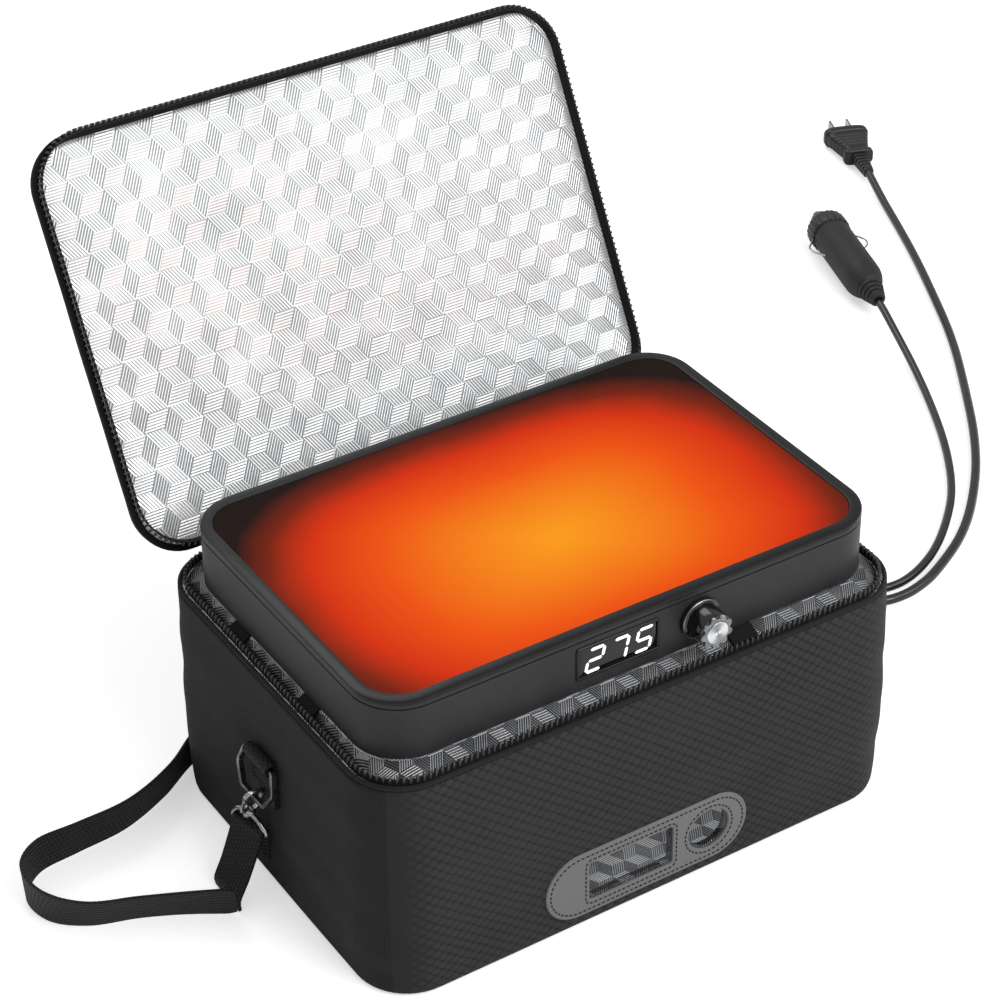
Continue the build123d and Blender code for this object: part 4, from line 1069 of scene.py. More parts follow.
@dataclass
class Bag(RoundedBox):
    """Soft insulated bag: woven outside, foil inside, piping, zipper half, patch and webbing tabs."""

    length: float = 310.0
    depth: float = 220.0
    corner: float = 30.0
    height: float = 129.0
    lining: float = 5.8
    floor: float = 9.2
    window_x: float = -14.0
    window_half: float = 25.0
    window_rise: float = 12.0
    level: float = 27.8
    hole_x: float = 33.0
    hole_radius: float = 12.2
    patch_x: float = -4.0
    patch_half: float = 60.5
    patch_rise: float = 20.0
    patch_face: float = -110.9
    tape_inset: float = 4.1
    track_end: float = 116.0
    ring_tab_z: float = 74.0
    belly: float = 1.6
    bottom_edge: tuple = ((12.0, 0.0), (4.0, 0.0), (1.9, 0.6), (0.6, 1.9), (0.1, 4.0), (0.0, 7.0))
    tab_places: tuple[float, float] = (-31.5, 36.5)
    front_tab_x: float = 57.0
    ledge_rings: tuple = ((299.8, 209.8, 24.9, 129.8, 0.0), (295.2, 201.6, 25.6, 133.0, 0.9),
                          (290.9, 192.9, 26.4, 135.5, 1.6), (290.9, 192.9, 26.4, 134.9, 1.6),
                          (295.2, 201.6, 25.6, 132.3, 0.9), (299.8, 209.8, 24.9, 129.2, 0.0))
    side_tab_line: tuple = ((-139.0, 134.9), (-143.8, 134.9), (-146.4, 133.9), (-148.6, 132.4), (-150.0, 131.6))
    front_tab_line: tuple = ((-90.0, 134.9), (-94.8, 134.9), (-98.4, 134.0), (-102.8, 132.4), (-105.0, 131.6))

    def build(self) -> None:
        """Build every piece of the sub-assembly."""
        self.shell()
        self.liner()
        self.patch()
        self.openings()
        self.ledge()
        self.rim()
        self.zipper()
        self.tabs()

    def keep_flat(self, x: float, y: float, z: float) -> float:
        """Give 0 where something is sewn or screwed on the wall, and 1 away from it."""
        share = 1.0
        if y < -self.depth / 2 + 12:
            share = away(x - self.patch_x, self.patch_half, z - self.level, self.patch_rise, 22.0)
        if abs(x) > self.length / 2 - 12:
            share = min(share, away(y, 13, z - self.ring_tab_z, 18, 18.0))
            if x > 0:
                _, port_y, port_z = Cords.port_place
                share = min(share, away(y - port_y, 18, z - port_z, 10, 14.0))
        return share * held((self.height - z) / 26.0) * held(z / 18.0)

    def sag(self, spot: Vector) -> float:
        """Give how far the cloth stands out of the flat wall: a slow belly and soft creases."""
        belly = self.belly * math.sin(math.pi * held(spot.z / self.height))
        slow = noise.noise(spot * 0.014 + Vector((3.1, 0.2, 7.7)))
        fold = noise.noise(Vector((spot.x * 0.02, spot.y * 0.02, spot.z * 0.055)) + Vector((9.0, 4.0, 1.0)))
        return self.keep_flat(*spot) * (belly + 1.7 * slow + 0.9 * fold)

    def shell(self) -> None:
        """Outer cloth with its rounded bottom edge, cut away behind the window and the knob hole."""
        foot = self.bottom_edge[-1][1]
        side = [(0.0, foot + (self.height - foot) * k / 40) for k in range(1, 41)]
        x, y = self.length / 2 - self.corner, self.depth / 2 - self.corner
        rows = []
        for row in self.wall([*self.bottom_edge, *side], CORNER_STEPS, 64):
            outer = row[-1].xy.to_3d()
            out = (outer - Vector((held(outer.x, -x, x), held(outer.y, -y, y), 0.0))).normalized()
            rows.append([p + out * self.sag(p) for p in row])
        shape = Shape()
        shape.loops(rows, around=False, along=True)
        shape.fan(self.outline(self.bottom_edge[0][0], CORNER_STEPS, 64), (0.0, 0.0, 0.0))
        self.cut_openings(shape)
        for face in shape.mesh.faces:
            spot, across, deep = face.calc_center_median(), abs(face.normal.x), abs(face.normal.y)
            front = spot.y < -y and deep > across and spot.z > 0.5
            face.material_index = 1 if front else (0 if across > deep else 2)
        piece = thicken(shape.done("bag_cloth_shell", SIDE_CLOTH, FRONT_CLOTH, BACK_CLOTH, merge=0.01), 1.2)
        seat(piece, "bag", "bag_fabric", "outer_fabric", "front_fabric", "wall_foam", "front_foam")

    def cut_openings(self, shape: Shape) -> None:
        """Take away the faces on the front that lie behind the window or the knob hole."""
        gone = []
        for face in shape.mesh.faces:
            spot = face.calc_center_median()
            window = (abs(spot.x - self.window_x) < self.window_half + 2.5
                      and abs(spot.z - self.level) < self.window_rise + 2.5)
            hole = math.hypot(spot.x - self.hole_x, spot.z - self.level) < self.hole_radius + 2.0
            if spot.y <= -self.depth / 2 + 8 and (window or hole):
                gone.append(face)
        bmesh.ops.delete(shape.mesh, geom=gone, context="FACES")

    def liner(self) -> None:
        """Foil-faced inside: floor, walls, a turned-out top edge, and its pale seam."""
        top, wall, floor = self.height, self.lining, self.floor
        line = [(2.2, top - 0.5), (wall - 0.6, top - 0.5), (wall, top - 1.6)]
        line += [(wall, top - 1.6 - (top - 3 - floor) * k / 30) for k in range(1, 31)]
        rows = self.wall(line + [(wall + 0.8, floor + 0.3), (wall + 3.0, floor), (40.0, floor)], 8, 48)
        shape = Shape()
        shape.loops(rows, around=False, along=True)
        shape.fan([row[-1] for row in rows][::-1], (0.0, 0.0, floor))
        self.cut_openings(shape)
        for face in shape.mesh.faces:
            normal = face.normal
            face.material_index = 2 if abs(normal.z) > 0.7 else (1 if abs(normal.x) > abs(normal.y) else 0)
        piece = shape.done("bag_foil_liner", LINER_FRONT, LINER_SIDE, LINER_FLOOR, merge=0.01, outward=False)
        seat(thicken(piece, 0.5), "bag", "foil", "foil_liner", "front_foil")
        seat(repeat_along("liner_seam_stitches", self.outline(wall + 0.2, 10, 4, top - 3.4), 4.2, (3.0, 0.5, 0.8), Z,
                          PALE_STITCH), "bag", "foil")

    def patch(self) -> None:
        """Coated patch with its hemmed window and knob hole, and stitched edges."""
        patch = slot_outline(self.patch_x, self.level, self.patch_half, self.patch_rise, 20)
        window, hole = self.openings_outlines()
        shape, face = Shape(), self.patch_face
        edges: dict[int, list] = {0: [], -1: []}
        for ring, grow, back in ((patch, -0.5, -110.0), (window, 0.45, -109.75), (hole, 0.45, -109.75)):
            verts = shape.loops([stood(grown(ring, grow), face), stood(ring, face + 0.35), stood(ring, back)])
            for index, found in edges.items():
                row = verts[index]
                found += [shape.mesh.edges.get(pair) for pair in zip(row, row[1:] + row[:1])]
        for index, facing in ((0, -Y), (-1, Y)):
            bmesh.ops.triangle_fill(shape.mesh, use_beauty=True, edges=edges[index], normal=facing)
        seat(shape.done("front_patch_cloth", PATCH_CLOTH, sharp=60), "bag", "grey_patch", "front_patch")
        for name, ring, inset in (("patch_edge_stitches", patch, -2.6), ("window_stitches", window, 2.2),
                                  ("hole_stitches", hole, 2.2)):
            seat(repeat_along(name, stood(grown(ring, inset), face - 0.05), 2.8, (2.1, 0.85, 0.7), -Y, STITCH),
                 "bag", "grey_patch")

    def openings_outlines(self) -> tuple[Pairs, Pairs]:
        """Give the outlines of the window and of the knob hole."""
        hole = [(self.hole_x + self.hole_radius * math.cos(2 * math.pi * k / 48),
                 self.level + self.hole_radius * math.sin(2 * math.pi * k / 48)) for k in range(48)]
        return box_outline(self.window_x, self.level, self.window_half, self.window_rise, 1.6), hole

    def openings(self) -> None:
        """Clear film of the window, and foil round the edges of both openings."""
        box = box_outline(self.window_x, self.level, self.window_half + 0.6, self.window_rise + 0.6, 1.2)
        skinned("window_film_sheet", FILM, ("bag", "film", "window_film"), [stood(box, y) for y in (-109.7, -109.4)],
                caps=True)
        shape = Shape()
        for ring in self.openings_outlines():
            shape.loops([stood(grown(ring, grow), y)
                         for y, grow in ((-109.2, 0.3), (-107.5, -0.2), (-105.0, 0.2), (-104.1, 1.6))])
        seat(thicken(shape.done("opening_foil_edges", LINER_WELL), -0.3), "bag", "foil")

    def rim(self) -> None:
        """Piping round the rim: a soft tube."""
        line = [p + Z * (130.3 + 0.25 * noise.noise(p * 0.03)) for p in self.outline(1.3, 14, 60)]
        skinned("rim_piping_tube", PIPING_CLOTH, ("bag", "piping", "rim_piping"),
                wire(line, 1.25, closed=True, sides=10), along=True)

    def track(self, inset: float, z: float) -> list[Vector]:
        """Give the zipper's line: three sides of the rim, open at the back."""
        kept = [p for p in self.outline(inset, CORNER_STEPS, 30, z)
                if not (p.y > 0 and abs(p.x) < self.track_end)]
        start = next(i for i, p in enumerate(kept) if p.y > 60 and p.x < 0 and kept[i - 1].x > 0)
        return kept[start:] + kept[:start]

    def ledge(self) -> None:
        """Foil turned out over the top of the wall, between the zipper and the heating unit."""
        rows = [[Vector((x, y, height - drop * self.under_tab(x, y))) for x, y in
                 rounded_outline(side, end, corner, CORNER_STEPS, SIDE_STEPS)]
                for side, end, corner, height, drop in self.ledge_rings]
        skinned("bag_foil_ledge", LINER_LEDGE, ("bag", "foil"), rows, along=True)

    def under_tab(self, x: float, y: float) -> float:
        """Give 1 under a webbing tab and 0 away from the tabs."""
        gaps = [abs(y - place) for place in self.tab_places] if x < -self.length / 2 + 12 else []
        if y < -self.depth / 2 + 16:
            gaps.append(abs(x - self.front_tab_x))
        return held((12.0 - min(gaps, default=12.0)) / 3.5)

    def zipper(self) -> None:
        """Zipper half of the bag: upright tape and a comb of moulded teeth."""
        skinned("bag_zip_tape", ZIP_TAPE, ("bag", "zipper_black", "bag_zipper_tape"),
                band(self.track(self.tape_inset, 131.4), [Z], 4.2, 0.8), caps=True)
        seat(repeat_along("bag_zip_teeth", self.track(self.tape_inset, 133.1), 3.15, (1.35, 2.0, 4.4), Z, ZIP_TEETH,
                          Repeat.TOOTH), "bag", "zipper_teeth", "bag_zipper_teeth")

    def tabs(self) -> None:
        """Webbing tabs that steady the heating unit: two on the left and one in front."""
        strips = {f"side_tab_{index}": ([Vector((x, y, z)) for x, z in self.side_tab_line], Y)
                  for index, y in enumerate(self.tab_places)}
        strips["front_tab"] = ([Vector((self.front_tab_x, y, z)) for y, z in self.front_tab_line], X)
        for name, (places, across) in strips.items():
            shape = Shape()
            shape.loops(band(smooth_line(places, 1.0), [across], 15, 1.3), caps=True)
            piece = shape.done(name, ZIP_TAPE)
            if name == "side_tab_0":
                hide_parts("support_tabs")
            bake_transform(piece)
            log.info("%s bends between bag and heating unit", name)


def away(across: float, half: float, up: float, rise: float, fade: float) -> float:
    """Give 0 inside a box about the origin, and up to 1 at a distance from it."""
    return held(math.hypot(max(abs(across) - half, 0.0), max(abs(up) - rise, 0.0)) / fade)


def stood(ring: Pairs, y: float) -> list[Vector]:
    """Stand a flat outline up, facing the front."""
    return [Vector((x, y, z)) for x, z in ring]


def slot_outline(x: float, z: float, half: float, rise: float, steps: int) -> list[tuple[float, float]]:
    """Give the outline of a patch with round ends."""
    return [(x + sign * (half - rise) + rise * math.cos(angle), z + rise * math.sin(angle))
            for sign, start in ((1, -90.0), (-1, 90.0))
            for angle in (math.radians(start + 180.0 * k / steps) for k in range(steps + 1))]


def box_outline(x: float, z: float, half: float, rise: float, corner: float) -> list[tuple[float, float]]:
    """Give the outline of a box with small round corners."""
    return [(x + a, z + b) for a, b in rounded_outline(2 * half, 2 * rise, corner, 4, 2)]


def grown(ring: Pairs, distance: float) -> list[tuple[float, float]]:
    """Move an anticlockwise outline outwards by a distance."""
    moved = []
    for (x, z), (ax, az), (bx, bz) in zip(ring, [ring[-1], *ring[:-1]], [*ring[1:], ring[0]]):
        length = math.hypot(bx - ax, bz - az) or 1.0
        moved.append((x + (bz - az) / length * distance, z - (bx - ax) / length * distance))
    return moved


# Lid


@dataclass
class Lid(RoundedBox):
    """Padded lid, drawn shut and swung open about the hinge strip at the back."""

    length: float = 312.0
    depth: float = 218.0
    corner: float = 26.0
    middle_y: float = 1.5
    face: float = 142.6
    top: float = 148.8
    hinge_y: float = 110.5
    hinge_z: float = 133.0
    angle: float = 119.0
    layers: int = 26

    def swing(self) -> Matrix:
        """Give the move from the shut lid to the open one."""
        to_hinge = Matrix.Translation((0, self.hinge_y, self.hinge_z))
        return to_hinge @ Matrix.Rotation(math.radians(-self.angle), 4, "X") @ to_hinge.inverted()

    def build(self) -> None:
        """Build every piece of the sub-assembly."""
        self.cover()
        self.foil()
        self.binding()
        self.zipper()
        self.hinge()

    def skin(self, name: str, line: Pairs, finish: Finish, rough: float, thickness: float) -> Piece:
        """Close a padded skin from the lid's edge to its middle line, and swing it open.

        Args:
            name: Piece name.
            line: Distance inwards from the edge, and height, of each point.
            finish: Finish of the skin.
            rough: Height of its soft waves.
            thickness: Thickness of the skin.

        Returns:
            The new object.
        """
        def waved(x: float, y: float, z: float, share: float = 1.0) -> Vector:
            """Lift a place by its wave, or by a share of it."""
            wave = noise.noise(Vector((x, y, 5.0)) * 0.022) + 0.4 * noise.noise(Vector((x, y, 9.0)) * 0.06)
            return Vector((x, y + self.middle_y, z + rough * share * wave))

        rows = self.wall(line, CORNER_STEPS, SIDE_STEPS)
        shape = Shape()
        shape.loops([[waved(*p, min(1.0, 2.0 * i / (len(row) - 1))) for i, p in enumerate(row)] for row in rows],
                    around=False, along=True)
        ridge = (self.length - self.depth) / 2
        ring = [row[-1] for row in rows]
        inner = []
        for share in (1 - k / self.layers for k in range(self.layers + 1)):
            inner.append([waved(p.x * share + math.copysign(min(abs(p.x), ridge), p.x) * (1 - share), p.y * share, p.z)
                          for p in ring])
        shape.loops(inner)
        for face in shape.mesh.faces:
            for loop in face.loops:
                loop[shape.map].uv = loop.vert.co.xy * MM
        bmesh.ops.transform(shape.mesh, matrix=self.swing(), verts=shape.mesh.verts)
        return thicken(shape.done(name, finish, merge=0.01), thickness)

    def cover(self) -> None:
        """Padded cloth cover with a rounded edge."""
        line = [(3.6, self.face + 0.9), (1.0, self.face + 0.7), (0.2, self.face + 1.2), (0.0, self.face + 3.0),
                (0.3, self.top - 1.4), (1.2, self.top - 0.3), (3.0, self.top + 0.2), (8.0, self.top + 0.9),
                (20.0, self.top + 1.8), (40.0, self.top + 2.4)]
        piece = self.skin("lid_cloth_cover", line, LID_CLOTH, 0.8, 1.0)
        seat(piece, "lid", "bag_fabric", "lid_cover", "lid_foam")

    def foil(self) -> None:
        """Foil face of the lid, slightly puffed."""
        line = [(inset, self.face + rise) for inset, rise in (
            (2.8, 0.3), (5.2, -0.1), (8.0, -0.8), (14.0, -1.4), (24.0, -1.8), (40.0, -2.0))]
        seat(self.skin("lid_foil_face", line, LID_FOIL, 0.5, 0.4), "lid", "foil", "lid_foil")

    def binding(self) -> None:
        """Black binding tape folded round the lid's edge."""
        line = [(inset, self.face + rise) for inset, rise in (
            (-0.4, -0.9), (-0.7, 0.0), (-0.5, 1.1), (0.6, 1.6), (2.2, 1.3), (3.0, 0.2), (3.0, -0.8), (1.2, -1.2))]
        swing = self.swing() @ Matrix.Translation((0, self.middle_y, 0))
        skinned("lid_edge_binding", ZIP_TAPE, ("lid", "zipper_black", "lid_binding"),
                turned(self.wall(line, CORNER_STEPS, 8), swing), along=True)

    def zipper(self) -> None:
        """Zipper half of the lid: flared tape and moulded teeth on three sides."""
        swing = self.swing()
        high, low, edge = turned((Bag().track(*place) for place in ((3.2, 142.9), (1.9, 137.3), (1.2, 139.0))), swing)
        flare = [(b - a).normalized() for a, b in zip(high, low)]
        skinned("lid_zip_tape", ZIP_TAPE, ("lid", "zipper_black", "lid_zipper_tape"),
                band([(a + b) / 2 for a, b in zip(high, low)], flare, 5.7, 0.9), caps=True)
        seat(repeat_along("lid_zip_teeth", edge, 3.2, (1.4, 2.0, 4.8), swing.to_3x3() @ -Z, ZIP_TEETH, Repeat.TOOTH),
             "lid", "zipper_teeth", "lid_zipper_teeth")

    def hinge(self) -> None:
        """Cloth strip from the bag's rear rim to the lid's rear edge."""
        places = [(0, 105.0, 132.5), (0, 110.2, 132.6), (0, 112.8, 131.8), (0, 115.4, 130.2), (0, 117.8, 128.4)]
        shape = Shape()
        shape.loops(band(smooth_line(places, 0.8), [X], 232, 1.6), caps=True)
        piece = shape.done("hinge_cloth_strip", BACK_CLOTH)
        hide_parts("hinge_strip")
        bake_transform(piece)


# Heating unit


@dataclass
class HeatingUnit(RoundedBox):
    """Bezel, display and knob of the electric heating unit."""

    length: float = 290.0
    depth: float = 192.0
    corner: float = 26.0
    top: float = 169.6
    front: float = -96.0
    level: float = 152.1
    display_x: float = -14.0
    display_frame: tuple[float, float, float] = (48.0, 19.0, 1.4)
    display_face: tuple[float, float, float] = (44.5, 15.5, 0.8)
    knob_x: float = 33.0
    digit_height: float = 12.4
    digit_width: float = 8.4
    digit_starts: tuple[float, float, float] = (-18.6, -4.6, 9.4)
    digit_slant: float = 0.21
    stroke: float = 1.55

    def build(self) -> None:
        """Build every piece of the sub-assembly."""
        self.bezel()
        self.display()
        self.digits()
        self.knob()

    def bezel(self) -> None:
        """Glossy trim ring round the hot plate, with rolled edges."""
        line = [(inset, self.top - drop) for inset, drop in (
            (0.0, 2.4), (0.0, 0.9), (0.25, 0.3), (0.9, 0.0), (5.6, 0.0), (6.2, 0.15), (6.5, 0.6), (6.5, 2.4))]
        skinned("plate_trim_ring", BEZEL, ("heater", "bezel", "top_bezel"), self.wall(line, 24, 2), along=True)

    def on_front(self, rows: Iterable[Iterable[Point]]) -> Rows:
        """Stand rows drawn flat, about the display, up against the front of the housing."""
        return [[Vector((self.display_x + x, self.front - z, self.level + y)) for x, y, z in row] for row in rows]

    def display(self) -> None:
        """Display frame and its glossy black face."""
        line = [(0.0, 0.0), (0.0, 0.5), (0.3, 0.8), (1.3, 0.8), (1.6, 0.5), (1.6, 0.0)]
        skinned("display_trim_frame", BEZEL, ("heater", "bezel", "display_bezel"),
                self.on_front(around_wall(*self.display_frame, line, 6)), along=True)
        line = [(0.0, -0.5), (0.0, 0.0), (0.4, 0.2), (3.0, 0.26)]
        rows = self.on_front(around_wall(*self.display_face, line, 4))
        lens = Shape()
        lens.loops(rows, around=False, along=True)
        lens.face(lens.ring(row[0] for row in rows[::-1]))
        lens.face(lens.ring(row[-1] for row in rows))
        seat(lens.done("display_smoked_lens", LENS), "heater", "lens", "display_lens")

    def digits(self) -> None:
        """Lit seven-segment digits flush with the lens, leaning to the right."""
        w, h, t = self.digit_width, self.digit_height, self.stroke / 2
        bars = {"a": ((0, h), (w, h)), "b": ((w, h), (w, h / 2)), "c": ((w, h / 2), (w, 0)), "d": ((0, 0), (w, 0)),
                "e": ((0, 0), (0, h / 2)), "f": ((0, h / 2), (0, h)), "g": ((0, h / 2), (w, h / 2))}
        blocks = []
        for start, lit in zip(self.digit_starts, ("abged", "abc", "afgcd")):
            for bar in lit:
                first, last = (Vector(end) for end in bars[bar])
                run = (last - first).normalized()
                a, b, side = first + run * t * 0.5, last - run * t * 0.5, run.orthogonal() * t
                six = [a, a + run * t + side, b - run * t + side, b, b - run * t - side, a + run * t - side]
                blocks.append(self.on_front([(start + p.x + self.digit_slant * p.y, p.y - h / 2, lift) for p in six]
                                            for lift in (0.1, 0.42)))
        skinned("display_lit_digits", DIGITS, ("heater", "digits"), *blocks, caps=True, sharp=20)

    def knob(self) -> None:
        """Black knob with a silver line on its skirt, a star ring and a turned bright cap."""
        centre = Vector((self.knob_x, self.front - 0.3, self.level))
        body = [(0.0, -8.0), (3.0, -8.0), (3.0, 0.0), (10.6, 0.0), (11.0, 0.4), (11.0, 2.3), (10.7, 2.8), (9.9, 3.1),
                (9.5, 3.4), (9.45, 8.0), (9.4, 12.9), (9.1, 13.6), (8.4, 14.0), (0.0, 14.0)]
        line = [(10.95, 2.45), (11.05, 2.6), (10.85, 2.85), (10.6, 3.0), (10.5, 2.8)]
        star = [(6.2, 13.9), (8.2, 13.9), (9.3, 14.1), (9.4, 14.8), (9.0, 15.3), (7.0, 15.4), (6.2, 15.2)]
        cap = [(0.0, 14.1), (6.15, 14.1), (6.2, 15.4), (5.95, 15.8), (5.5, 15.95), (2.5, 15.85), (0.0, 15.8)]
        disc = TurnedDisc("turned_aluminium_cap", centre=tuple(centre * MM))
        for name, finish, nodes, profile, steps, ripple, closed in (
                ("knob_black_body", KNOB_BLACK, ("knob_black", "knob_body"), body, 72, self.grip, False),
                ("knob_silver_line", SILVER_LINE, ("star_grey",), line, 72, None, True),
                ("knob_star_ring", STAR_METAL, ("star_grey", "knob_star"), star, 144, self.lobes, True),
                ("knob_bright_cap", disc, ("spun_metal", "knob_cap"), cap, 72, None, False)):
            skinned(name, finish, ("knob", *nodes), lathe(profile, centre, -Y, steps, ripple), along=closed)

    @staticmethod
    def grip(angle: float, place: float) -> float:
        """Give the fine moulded flutes of the knob's side."""
        return -0.12 * (0.5 - 0.5 * math.cos(36 * angle)) if 3.8 < place < 13.2 else 0.0

    @staticmethod
    def lobes(angle: float, place: float) -> float:
        """Give the nine lobes of the star ring, deepest between them."""
        return -1.9 * (0.5 - 0.5 * math.cos(9 * angle)) ** 1.6 * (1.0 if place > 13.95 else 0.6)


# Strap and metal fittings


@dataclass
class Side:
    """Ring, snap hook, D-ring and tab at one end of the bag."""

    name: str
    sign: float
    wall: float = 155.0
    ring_x: float = 159.2
    ring_z: float = 84.0
    ring_lean: float = 12.0
    ring_corners: tuple = ((-13.5, 0.0), (13.5, 0.0), (17.2, -10.75), (10.6, -21.5), (-10.6, -21.5), (-17.2, -10.75))
    ring_thick: float = 0.95
    ring_deep: float = 1.7
    ring_bevel: float = 0.45
    hook_lean: float = 22.0
    hook_reach: float = 21.6
    d_rise: float = 4.6
    tab_width: float = 23.0
    d_turn: float = 10.0
    d_tilt: float = -30.0
    d_height: float = 9.0
    d_half: float = 13.7

    def build(self) -> None:
        """Build every piece of this end."""
        self.ring()
        self.tab()
        self.hook()

    def ring_frame(self) -> Matrix:
        """Give the place of the ring's top bar."""
        return (Matrix.Translation((self.sign * self.ring_x, 0, self.ring_z))
                @ Matrix.Rotation(math.radians(-self.sign * self.ring_lean), 4, "Y"))

    def hook_frame(self) -> Matrix:
        """Give the place of the ring's bottom bar, where the hook hangs."""
        low = self.ring_frame() @ (Z * self.ring_corners[3][1])
        return Matrix.Translation(low) @ Matrix.Rotation(math.radians(self.hook_lean), 4, "X")

    def d_frame(self) -> Matrix:
        """Give the place of the D-ring's arc top."""
        turn = Matrix.Rotation(math.radians(-self.sign * self.d_turn), 4, "Z")
        tilt = Matrix.Rotation(math.radians(self.d_tilt), 4, "X")
        return (self.hook_frame() @ Matrix.Translation(Z * -self.hook_reach) @ turn @ tilt
                @ Matrix.Translation(Z * self.d_rise))

    def ring(self) -> None:
        """Flat six-sided ring with bevelled edges."""
        corners = [Vector((0, *corner)) for corner in self.ring_corners]
        spots = []
        for here, before, after in zip(corners, corners[-1:] + corners[:-1], corners[1:] + corners[:1]):
            spots += [here.lerp(before, 0.3), here + (before - here).normalized() * 1.4,
                      here + (after - here).normalized() * 1.4]
        a, b, bevel = self.ring_thick, self.ring_deep, self.ring_bevel
        outline = [(a, b - bevel), (a - bevel, b), (bevel - a, b), (-a, b - bevel), (-a, bevel - b), (bevel - a, -b),
                   (a - bevel, -b), (a, bevel - b)]
        line = smooth_line(spots, 0.7, closed=True)
        rows = [[place + ahead.cross(X) * u + X * v for u, v in outline]
                for place, ahead in zip(line, headings(line, closed=True))]
        skinned(f"{self.name}_hexagon_ring", GUNMETAL, (f"{self.name}_ring_body", "gunmetal", f"{self.name}_ring"),
                turned(rows, self.ring_frame()), along=True, sharp=30)

    def tab(self) -> None:
        """Webbing tab sewn on the wall and looped round the ring's top bar."""
        wall, x, z = self.wall, self.ring_x, self.ring_z
        places = [(wall + 2.5, 58.6), (wall + 2.5, 68.0), (wall + 2.5, 76.0), (x - 1.2, z - 3.3), (x + 0.9, z - 2.8),
                  (x + 2.6, z - 0.6), (x + 2.2, z + 1.9), (x, z + 2.9), (x - 2.2, z + 1.9), (wall + 1.0, z - 2.0),
                  (wall + 0.9, 76.0), (wall + 0.9, 68.0), (wall + 0.9, 58.6)]
        line = smooth_line([(self.sign * a, 0, b) for a, b in places], 0.8)
        skinned(f"{self.name}_ring_tab", WEBBING, ("bag", "webbing"), band(line, [Y], self.tab_width, 1.45), caps=True)
        lift, wide = self.sign * (wall + 3.3), self.tab_width / 2 - 2.0
        box = [(lift, -wide, 67.4), (lift, wide, 67.4), (lift, wide, 74.0), (lift, -wide, 74.0)]
        seat(repeat_along(f"{self.name}_tab_stitches", box, 2.6, (1.9, 0.5, 0.4), X * self.sign, STITCH),
             "bag", "webbing")

    def rod(self, places: Pairs, step: float, radius: float) -> Rows:
        """Give a bent rod with round ends, drawn in the hook's own plane."""
        line = smooth_line([(self.sign * x, 0, z) for x, z in places], step)
        return turned(ball_ended(line, radius), self.hook_frame())

    def hook(self) -> None:
        """Snap hook with its barrel and gate."""
        bow = [(4.8, -0.4), (4.75, 0.9), (3.7, 2.6), (1.6, 3.25), (-1.6, 3.25), (-3.7, 2.6), (-4.75, 0.9),
               (-4.85, -2.0), (-4.7, -8.0), (-4.1, -11.2), (-2.4, -13.0), (0.0, -13.4)]
        foot = [(0, -13.5), (2.6, -13.3), (4.2, -12.7), (4.7, -11.9)]
        barrel = [(0.0, -12.6), (2.5, -12.6), (3.0, -13.0), (3.1, -14.2), (2.75, -14.5), (2.75, -15.0), (3.2, -15.3),
                  (3.25, -17.9), (2.9, -18.5), (2.3, -18.9), (0.0, -18.9)]
        shape = Shape()
        shape.loops(self.rod(bow, 0.6, 1.3), caps=True)
        shape.loops(self.rod(foot, 0.6, 1.2), caps=True)
        shape.loops(turned(lathe(barrel, axis=Z, steps=32), self.hook_frame()))
        seat(shape.done(f"{self.name}_snap_hook_casting", NICKEL, sharp=50), f"{self.name}_hook", "steel",
             f"{self.name}_snap_hook")
        gate = self.rod([(4.8, -10.9), (5.0, -8.5), (5.05, -6.0), (4.8, -3.0)], 0.5, 0.95)
        skinned(f"{self.name}_sprung_gate", NICKEL, (f"{self.name}_gate", "steel", f"{self.name}_hook_gate"), gate,
                caps=True, sharp=50)

    def d_ring_rows(self) -> Rows:
        """Give the rows of the D-ring's wire."""
        end, low = self.d_half, -self.d_height
        radius = (end ** 2 + low ** 2) / (2 * self.d_height)
        reach = math.asin((end - 0.2) / radius)
        arc = [(radius * math.sin(reach * k / 6), radius * math.cos(reach * k / 6) - radius) for k in range(-6, 7)]
        arc[0], arc[-1] = ((y, z + 0.8) for y, z in (arc[0], arc[-1]))
        bar = [(end * k, low - 1.1) for k in (0.7, 0.35, 0.0, -0.35, -0.7)]
        foot = [(end - 0.1, low - 0.2), (end - 1.4, low - 1.0), *bar, (1.4 - end, low - 1.0), (0.1 - end, low - 0.2)]
        line = smooth_line([(0, y, z) for y, z in arc + foot], 0.8, closed=True)
        return turned(wire(line, 1.3, closed=True, sides=14), self.d_frame())


